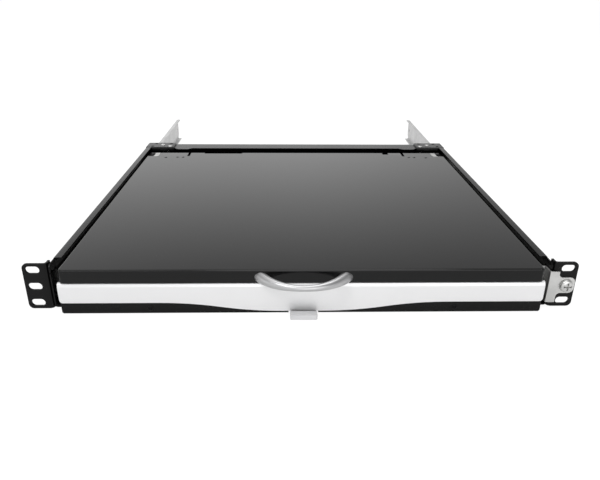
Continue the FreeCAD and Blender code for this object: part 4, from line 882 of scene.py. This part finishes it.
class CONSOLE_OT_finishes(bpy.types.Operator):
    """Give every CAD node the finish of its slot"""
    bl_idname = "console.finishes"
    bl_label = "Finishes"

    def execute(self, context):
        make_finishes(context.scene.console_finishes)
        for node, slot in NODE_SLOT.items():
            data = frame["nodes"][node].data
            data.materials.clear()
            data.materials.append(FINISHES[slot])
        return {"FINISHED"}


class CONSOLE_OT_sheet_pieces(bpy.types.Operator):
    """Make the folded sheet pieces with soft edges and bends"""
    bl_idname = "console.sheet_pieces"
    bl_label = "Sheet pieces"

    def execute(self, context):
        for node in SHEET_NODES:
            soft_copy(node, ".sheet", context.scene.console_edges.sheet_edge)
        return {"FINISHED"}


def arc(x, z, radius, start, end, steps):
    """Points on an arc, with its angles in degrees."""
    points = []
    for step in range(steps + 1):
        angle = math.radians(start + (end - start) * step / steps)
        points.append((x + radius * math.cos(angle), z + radius * math.sin(angle)))
    return points


def circle(x, z, radius, sides):
    """Points round a whole circle."""
    return arc(x, z, radius, 0, 360 - 360 / sides, sides - 1)


def slot_outline(x, z, length, height, steps):
    """A slot with round ends."""
    half = (length - height) / 2
    radius = height / 2
    return arc(x + half, z, radius, -90, 90, steps) + arc(x - half, z, radius, 90, 270, steps)


def corner_outline(x, z, radius, side_x, side_z, steps):
    """What comes off the outer corner of a plate to leave it round."""
    curve = arc(0.0, 0.0, radius, 0, 90, steps)
    outline = [(x - side_x * (radius - across), z - side_z * (radius - up)) for across, up in curve]
    return outline + [(x - side_x * radius, z + side_z * SPARE),
                      (x + side_x * SPARE, z + side_z * SPARE),
                      (x + side_x * SPARE, z - side_z * radius)]


class CONSOLE_OT_plates(bpy.types.Operator):
    """Make the ears and the lock bracket with round corners and slots"""
    bl_idname = "console.plates"
    bl_label = "Plates"

    def execute(self, context):
        sizes = context.scene.console_plates
        steps = sizes.corner_steps
        low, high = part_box("ear_right")
        slot_x = high.x - sizes.slot_inset
        for node, side in (("ear_left", -1), ("ear_right", 1)):
            outlines = [slot_outline(side * slot_x, z, sizes.slot_length, sizes.slot_height,
                                     sizes.end_steps)
                        for z in (-sizes.slot_rise, 0.0, sizes.slot_rise)]
            for side_z in (-1, 1):
                outlines.append(corner_outline(side * high.x, side_z * high.z, sizes.ear_corner,
                                               side, side_z, steps))
            self.make(context, node, outlines, low.y - sizes.cut_depth, low.y + sizes.cut_depth)
        outlines = []
        low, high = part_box("lock_bracket")
        fillet = sizes.tongue_fillet
        for side_z in (-1, 1):
            edge = side_z * sizes.tongue_half_height
            outlines.append(corner_outline(high.x, edge, sizes.tongue_corner, 1, side_z, steps))
            outlines.append(circle(high.x - sizes.tongue_length + fillet, edge + side_z * fillet,
                                   fillet, sizes.fillet_sides))
        self.make(context, "lock_bracket", outlines, low.y - SPARE, 0.0)
        return {"FINISHED"}

    def make(self, context, node, outlines, front, rear):
        """A plate that loses some outlines of (x, z) between two levels of y."""
        way = (0.0, rear - front, 0.0)
        cutters = [make_piece("cutter", prism([(x, front, z) for x, z in outline], way))
                   for outline in outlines]
        piece = make_piece(node + ".plate", joined_mesh(node))
        cut(piece, cutters)
        soften(piece, context.scene.console_edges.sheet_edge)
        shade(piece)
        install(piece, node)


class CONSOLE_OT_moulded_pieces(bpy.types.Operator):
    """Make the moulded pieces with soft edges"""
    bl_idname = "console.moulded_pieces"
    bl_label = "Moulded pieces"

    def execute(self, context):
        for node in MOULDED_NODES:
            soft_copy(node, ".moulded", context.scene.console_edges.moulded_edge, segments=3)
        return {"FINISHED"}


class CONSOLE_OT_trim(bpy.types.Operator):
    """Make the silver trim, with the sloping band along its top"""
    bl_idname = "console.trim"
    bl_label = "Trim"

    def execute(self, context):
        settings = context.scene.console_trim
        low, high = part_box("front_trim")
        band_z = high.z - settings.band_height
        panel_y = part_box("front_panel")[0].y
        mesh = joined_mesh("front_trim")
        everything = mesh.verts[:] + mesh.edges[:] + mesh.faces[:]
        bmesh.ops.bisect_plane(mesh, geom=everything, plane_co=(0, 0, band_z), plane_no=(0, 0, 1))
        for corner in mesh.verts:
            if corner.co.y < panel_y - CLEAR or corner.co.z > high.z - settings.lip:
                slope_y = low.y + (corner.co.z - band_z) * settings.band_slope
                corner.co.y = max(corner.co.y, slope_y)
        piece = make_piece("front_trim.band", mesh)
        soften(piece, context.scene.console_edges.sheet_edge, turn_degrees=12.0)
        shade(piece)
        install(piece, "front_trim")
        return {"FINISHED"}


class CONSOLE_OT_shoulders(bpy.types.Operator):
    """Make the small plates that close the chassis sides in front of their top flanges"""
    bl_idname = "console.shoulders"
    bl_label = "Shoulders"

    def execute(self, context):
        settings = context.scene.console_shoulders
        low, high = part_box("chassis_tray")
        front = low.y
        rear = settings.flange_front
        top = high.z - settings.drop
        bottom = top - settings.height
        profile = ((front, bottom), (rear, bottom), (rear, top), (front + settings.slope, top),
                   (front, top - settings.slope))
        for side, outer, inward in (("left", low.x, 1.0), ("right", high.x, -1.0)):
            mesh = prism([(outer, y, z) for y, z in profile], (inward * settings.sheet, 0.0, 0.0))
            piece = make_piece("chassis_shoulder." + side, mesh)
            soften(piece, context.scene.console_edges.sheet_edge)
            shade(piece)
            dress(piece, "chassis_tray")
        return {"FINISHED"}


class CONSOLE_OT_keys(bpy.types.Operator):
    """Make the keys with hollow tops and round edges"""
    bl_idname = "console.keys"
    bl_label = "Keys"

    def execute(self, context):
        settings = context.scene.console_keys
        for node in KEY_ROWS:
            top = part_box(node)[1].z
            mesh = joined_mesh(node)
            tops = [face for face in mesh.faces if face.calc_center_median().z > top - SAME]
            bmesh.ops.inset_individual(mesh, faces=tops, thickness=settings.rim, depth=0.0)
            for face in tops:
                bmesh.ops.translate(mesh, verts=face.verts, vec=(0.0, 0.0, -settings.hollow))
            piece = make_piece(node + ".keys", mesh)
            soften(piece, settings.edge, segments=3, turn_degrees=12.0)
            shade(piece, sharp_degrees=60.0)
            install(piece, node)
        return {"FINISHED"}


class CONSOLE_OT_handle(bpy.types.Operator):
    """Make the crescent handle, thick at its feet and thin in the middle"""
    bl_idname = "console.handle"
    bl_label = "Handle"

    def execute(self, context):
        settings = context.scene.console_handle
        low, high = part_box("handle")
        middle_z = (low.z + high.z) / 2
        reach = high.y - low.y - settings.middle_radius
        span = settings.half_span
        arc_radius = (span ** 2 + reach ** 2) / (2 * reach)
        centre_y = high.y - reach + arc_radius
        first = math.acos(span / arc_radius)
        mesh = bmesh.new()
        rings = []
        for step in range(settings.steps + 1):
            share = step / settings.steps
            heading = first + (math.pi - 2 * first) * share
            x = arc_radius * math.cos(heading)
            y = centre_y - arc_radius * math.sin(heading)
            growth = (abs(x) / span) ** settings.growth
            radius = (settings.middle_radius
                      + (settings.foot_radius - settings.middle_radius) * growth)
            tilt = self.section_tilt(heading, share, settings.foot_turn)
            ring = []
            for side in range(settings.sides):
                angle = 2 * math.pi * side / settings.sides
                out = radius * math.cos(angle) / math.cos(heading - tilt)
                up = radius * math.sin(angle)
                spot = (x + out * math.cos(tilt), y - out * math.sin(tilt), middle_z + up)
                ring.append(mesh.verts.new(spot))
            rings.append(ring)
        for before, after in zip(rings, rings[1:]):
            for side in range(settings.sides):
                beside = (side + 1) % settings.sides
                mesh.faces.new((before[side], before[beside], after[beside], after[side]))
        mesh.faces.new(list(reversed(rings[0])))
        mesh.faces.new(rings[-1])
        bmesh.ops.recalc_face_normals(mesh, faces=mesh.faces)
        piece = make_piece("handle.crescent", mesh)
        shade(piece)
        install(piece, "handle")
        return {"FINISHED"}

    def section_tilt(self, heading, share, foot_turn):
        """A section lies flat on the lid at each foot, and soon turns square to the arc."""
        if share > 0.5:
            return math.pi - self.section_tilt(math.pi - heading, 1.0 - share, foot_turn)
        return heading * min(1.0, share / foot_turn)


def screw_pattern():
    """A cross-recessed pan head on every point, turned and scaled by the point's vectors.

    The head is made from a ball of radius 1, so its sizes are shares of its radius and height.
    """
    pattern = Pattern("pan heads", {
        "Sides": "Int",
        "Rings": "Int",
        "Squareness": "Float",
        "Recess Reach": "Float",
        "Recess Width": "Float",
        "Recess Floor": "Float",
        "Finish": "Material",
    })
    ball = pattern.node("GeometryNodeMeshUVSphere", inputs={
        "Segments": pattern.given("Sides"), "Rings": pattern.given("Rings"), "Radius": 1.0})
    place = pattern.node("GeometryNodeInputPosition")
    out_x, out_y, up = (pattern.node("ShaderNodeSeparateXYZ", inputs={0: place}, output=axis)
                        for axis in "XYZ")
    power = pattern.given("Squareness")
    out = (out_x * out_x + out_y * out_y) ** 0.5
    stretch = 1.0 / ((out ** power + up.size() ** power) ** (1.0 / power))
    moved = pattern.node("ShaderNodeVectorMath", {"operation": "SCALE"},
                         {0: place, "Scale": stretch})
    dome = pattern.node("GeometryNodeSetPosition", inputs={"Geometry": ball, "Position": moved})
    reach = pattern.given("Recess Reach") * 2.0
    width = pattern.given("Recess Width")
    bar_height = 1.0
    lift = pattern.vector(Z=pattern.given("Recess Floor") + bar_height / 2)
    cutters = []
    for length_x, length_y in ((reach, width), (width, reach)):
        bar = pattern.vector(X=length_x, Y=length_y, Z=bar_height)
        cutters.append(pattern.box(bar, lift))
    lower_half = pattern.box(size=(4.0, 4.0, 2.0), middle=(0.0, 0.0, -1.0))
    cutters.append(lower_half)
    head = pattern.node("GeometryNodeMeshBoolean", {"operation": "DIFFERENCE", "solver": "EXACT"},
                        {"Mesh 1": dome, "Mesh 2": cutters})
    turn = pattern.node("FunctionNodeAlignRotationToVector", {"axis": "Z"},
                        {"Vector": pattern.attribute("outward")})
    pattern.close({"Instance": head, "Rotation": turn, "Scale": pattern.attribute("head")})
    return pattern


def ball_pattern():
    """A smooth ball on every point."""
    kinds = {"Radius": "Float", "Segments": "Int", "Rings": "Int", "Finish": "Material"}
    pattern = Pattern("balls", kinds)
    sizes = {label: pattern.given(label) for label in ("Radius", "Segments", "Rings")}
    pattern.close({"Instance": pattern.node("GeometryNodeMeshUVSphere", inputs=sizes)})
    return pattern


def screw_seat(corners, level_count):
    """Where a screw's head sits, which way it faces and its size, or None without such levels.

    A hexagonal spacer has three levels across its flats, so it is wrongly taken for a screw.
    """
    for axis in range(3):
        levels = sorted({round(corner.co[axis], LEVEL_DIGITS) for corner in corners})
        if len(levels) != level_count:
            continue
        outward = Vector((0.0, 0.0, 0.0))
        if levels[1] - levels[0] > levels[-1] - levels[-2]:
            outward[axis] = 1.0
            seat = levels[1]
            height = levels[-1] - seat
        else:
            outward[axis] = -1.0
            seat = levels[-2]
            height = seat - levels[0]
        centre = middle_of(corners)
        centre[axis] = seat
        rim = [corner for corner in corners if abs(corner.co[axis] - seat) < SAME]
        radius = max((corner.co - centre).length for corner in rim)
        return centre, outward, Vector((radius, radius, height))
    return None


class CONSOLE_OT_screws(bpy.types.Operator):
    """Make the screws with cross-recessed heads"""
    bl_idname = "console.screws"
    bl_label = "Screws"

    def execute(self, context):
        settings = context.scene.console_screws
        pattern = screw_pattern()
        sizes = {"Sides": settings.sides, "Rings": settings.rings,
                 "Squareness": settings.squareness, "Recess Reach": settings.recess_reach,
                 "Recess Width": settings.recess_width, "Recess Floor": settings.recess_floor}
        for node, level_count in SCREW_LEVELS.items():
            shanks = joined_mesh(node)
            seats = []
            for corners in loose_parts(shanks):
                seat = screw_seat(corners, level_count)
                if seat:
                    seats.append(seat)
                    self.cut_head(shanks, corners, seat)
            if not seats:
                raise RuntimeError("no screws found in " + node)
            places, outwards, heads = zip(*seats)
            points = point_mesh(node + ".points", places, {"outward": outwards, "head": heads})
            piece = pattern.grown(node + ".heads", points,
                                  {**sizes, "Finish": FINISHES[NODE_SLOT[node]]})
            shanks.from_mesh(piece.data)
            shanks.to_mesh(piece.data)
            shanks.free()
            shade(piece, sharp_degrees=35.0)
            install(piece, node)
        return {"FINISHED"}

    def cut_head(self, mesh, corners, seat):
        """Takes the plain head off a screw and closes its shank."""
        centre, outward, head = seat
        beyond_shank = 0.8 * head.x
        spare = []
        for corner in corners:
            way = corner.co - centre
            height = way.dot(outward)
            if height > SAME or (height > -SAME and way.length > beyond_shank):
                spare.append(corner)
        kept = [corner for corner in corners if corner not in spare]
        bmesh.ops.delete(mesh, geom=spare, context="VERTS")
        edges = {edge for corner in kept for edge in corner.link_edges}
        bmesh.ops.holes_fill(mesh, edges=list(edges), sides=0)


class CONSOLE_OT_balls(bpy.types.Operator):
    """Make the balls of the slides round"""
    bl_idname = "console.balls"
    bl_label = "Balls"

    def execute(self, context):
        settings = context.scene.console_balls
        pattern = ball_pattern()
        for node in BALL_NODES:
            mesh = joined_mesh(node)
            balls = loose_parts(mesh)
            centres = [middle_of(corners) for corners in balls]
            radius = max((corner.co - centres[0]).length for corner in balls[0])
            mesh.free()
            points = point_mesh(node + ".points", centres, {})
            piece = pattern.grown(node + ".round", points, {
                "Radius": radius, "Segments": settings.segments, "Rings": settings.rings,
                "Finish": FINISHES[NODE_SLOT[node]]})
            shade(piece, sharp_degrees=60.0)
            install(piece, node)
        return {"FINISHED"}


SETTINGS = {
    "console_stage": StageSettings,
    "console_finishes": FinishSettings,
    "console_edges": EdgeSettings,
    "console_plates": PlateSettings,
    "console_trim": TrimSettings,
    "console_shoulders": ShoulderSettings,
    "console_keys": KeySettings,
    "console_handle": HandleSettings,
    "console_screws": ScrewSettings,
    "console_balls": BallSettings,
}
STEPS = (
    CONSOLE_OT_stage, CONSOLE_OT_finishes, CONSOLE_OT_sheet_pieces, CONSOLE_OT_plates,
    CONSOLE_OT_moulded_pieces, CONSOLE_OT_trim, CONSOLE_OT_shoulders, CONSOLE_OT_keys,
    CONSOLE_OT_handle, CONSOLE_OT_screws, CONSOLE_OT_balls,
)


class CONSOLE_PT_panel(bpy.types.Panel):
    """The console's operators, in the order in which they run, and their settings"""
    bl_idname = "CONSOLE_PT_panel"
    bl_label = "Rack Console"
    bl_space_type = "VIEW_3D"
    bl_region_type = "UI"
    bl_category = "Rack Console"

    def draw(self, context):
        for step in STEPS:
            self.layout.operator(step.bl_idname)
        for place, group in SETTINGS.items():
            for name in group.__annotations__:
                self.layout.prop(getattr(context.scene, place), name)


CLASSES = (*SETTINGS.values(), *STEPS, CONSOLE_PT_panel)


def register():
    for kind in CLASSES:
        bpy.utils.register_class(kind)
    for name, group in SETTINGS.items():
        setattr(bpy.types.Scene, name, bpy.props.PointerProperty(type=group))


def unregister():
    for name in SETTINGS:
        delattr(bpy.types.Scene, name)
    for kind in reversed(CLASSES):
        bpy.utils.unregister_class(kind)


def main():
    register()
    bpy.ops.console.stage()
    bpy.ops.console.finishes()
    bpy.ops.console.sheet_pieces()
    bpy.ops.console.plates()
    bpy.ops.console.moulded_pieces()
    bpy.ops.console.trim()
    bpy.ops.console.shoulders()
    bpy.ops.console.keys()
    bpy.ops.console.handle()
    bpy.ops.console.screws()
    bpy.ops.console.balls()


if __name__ == "__main__":
    main()
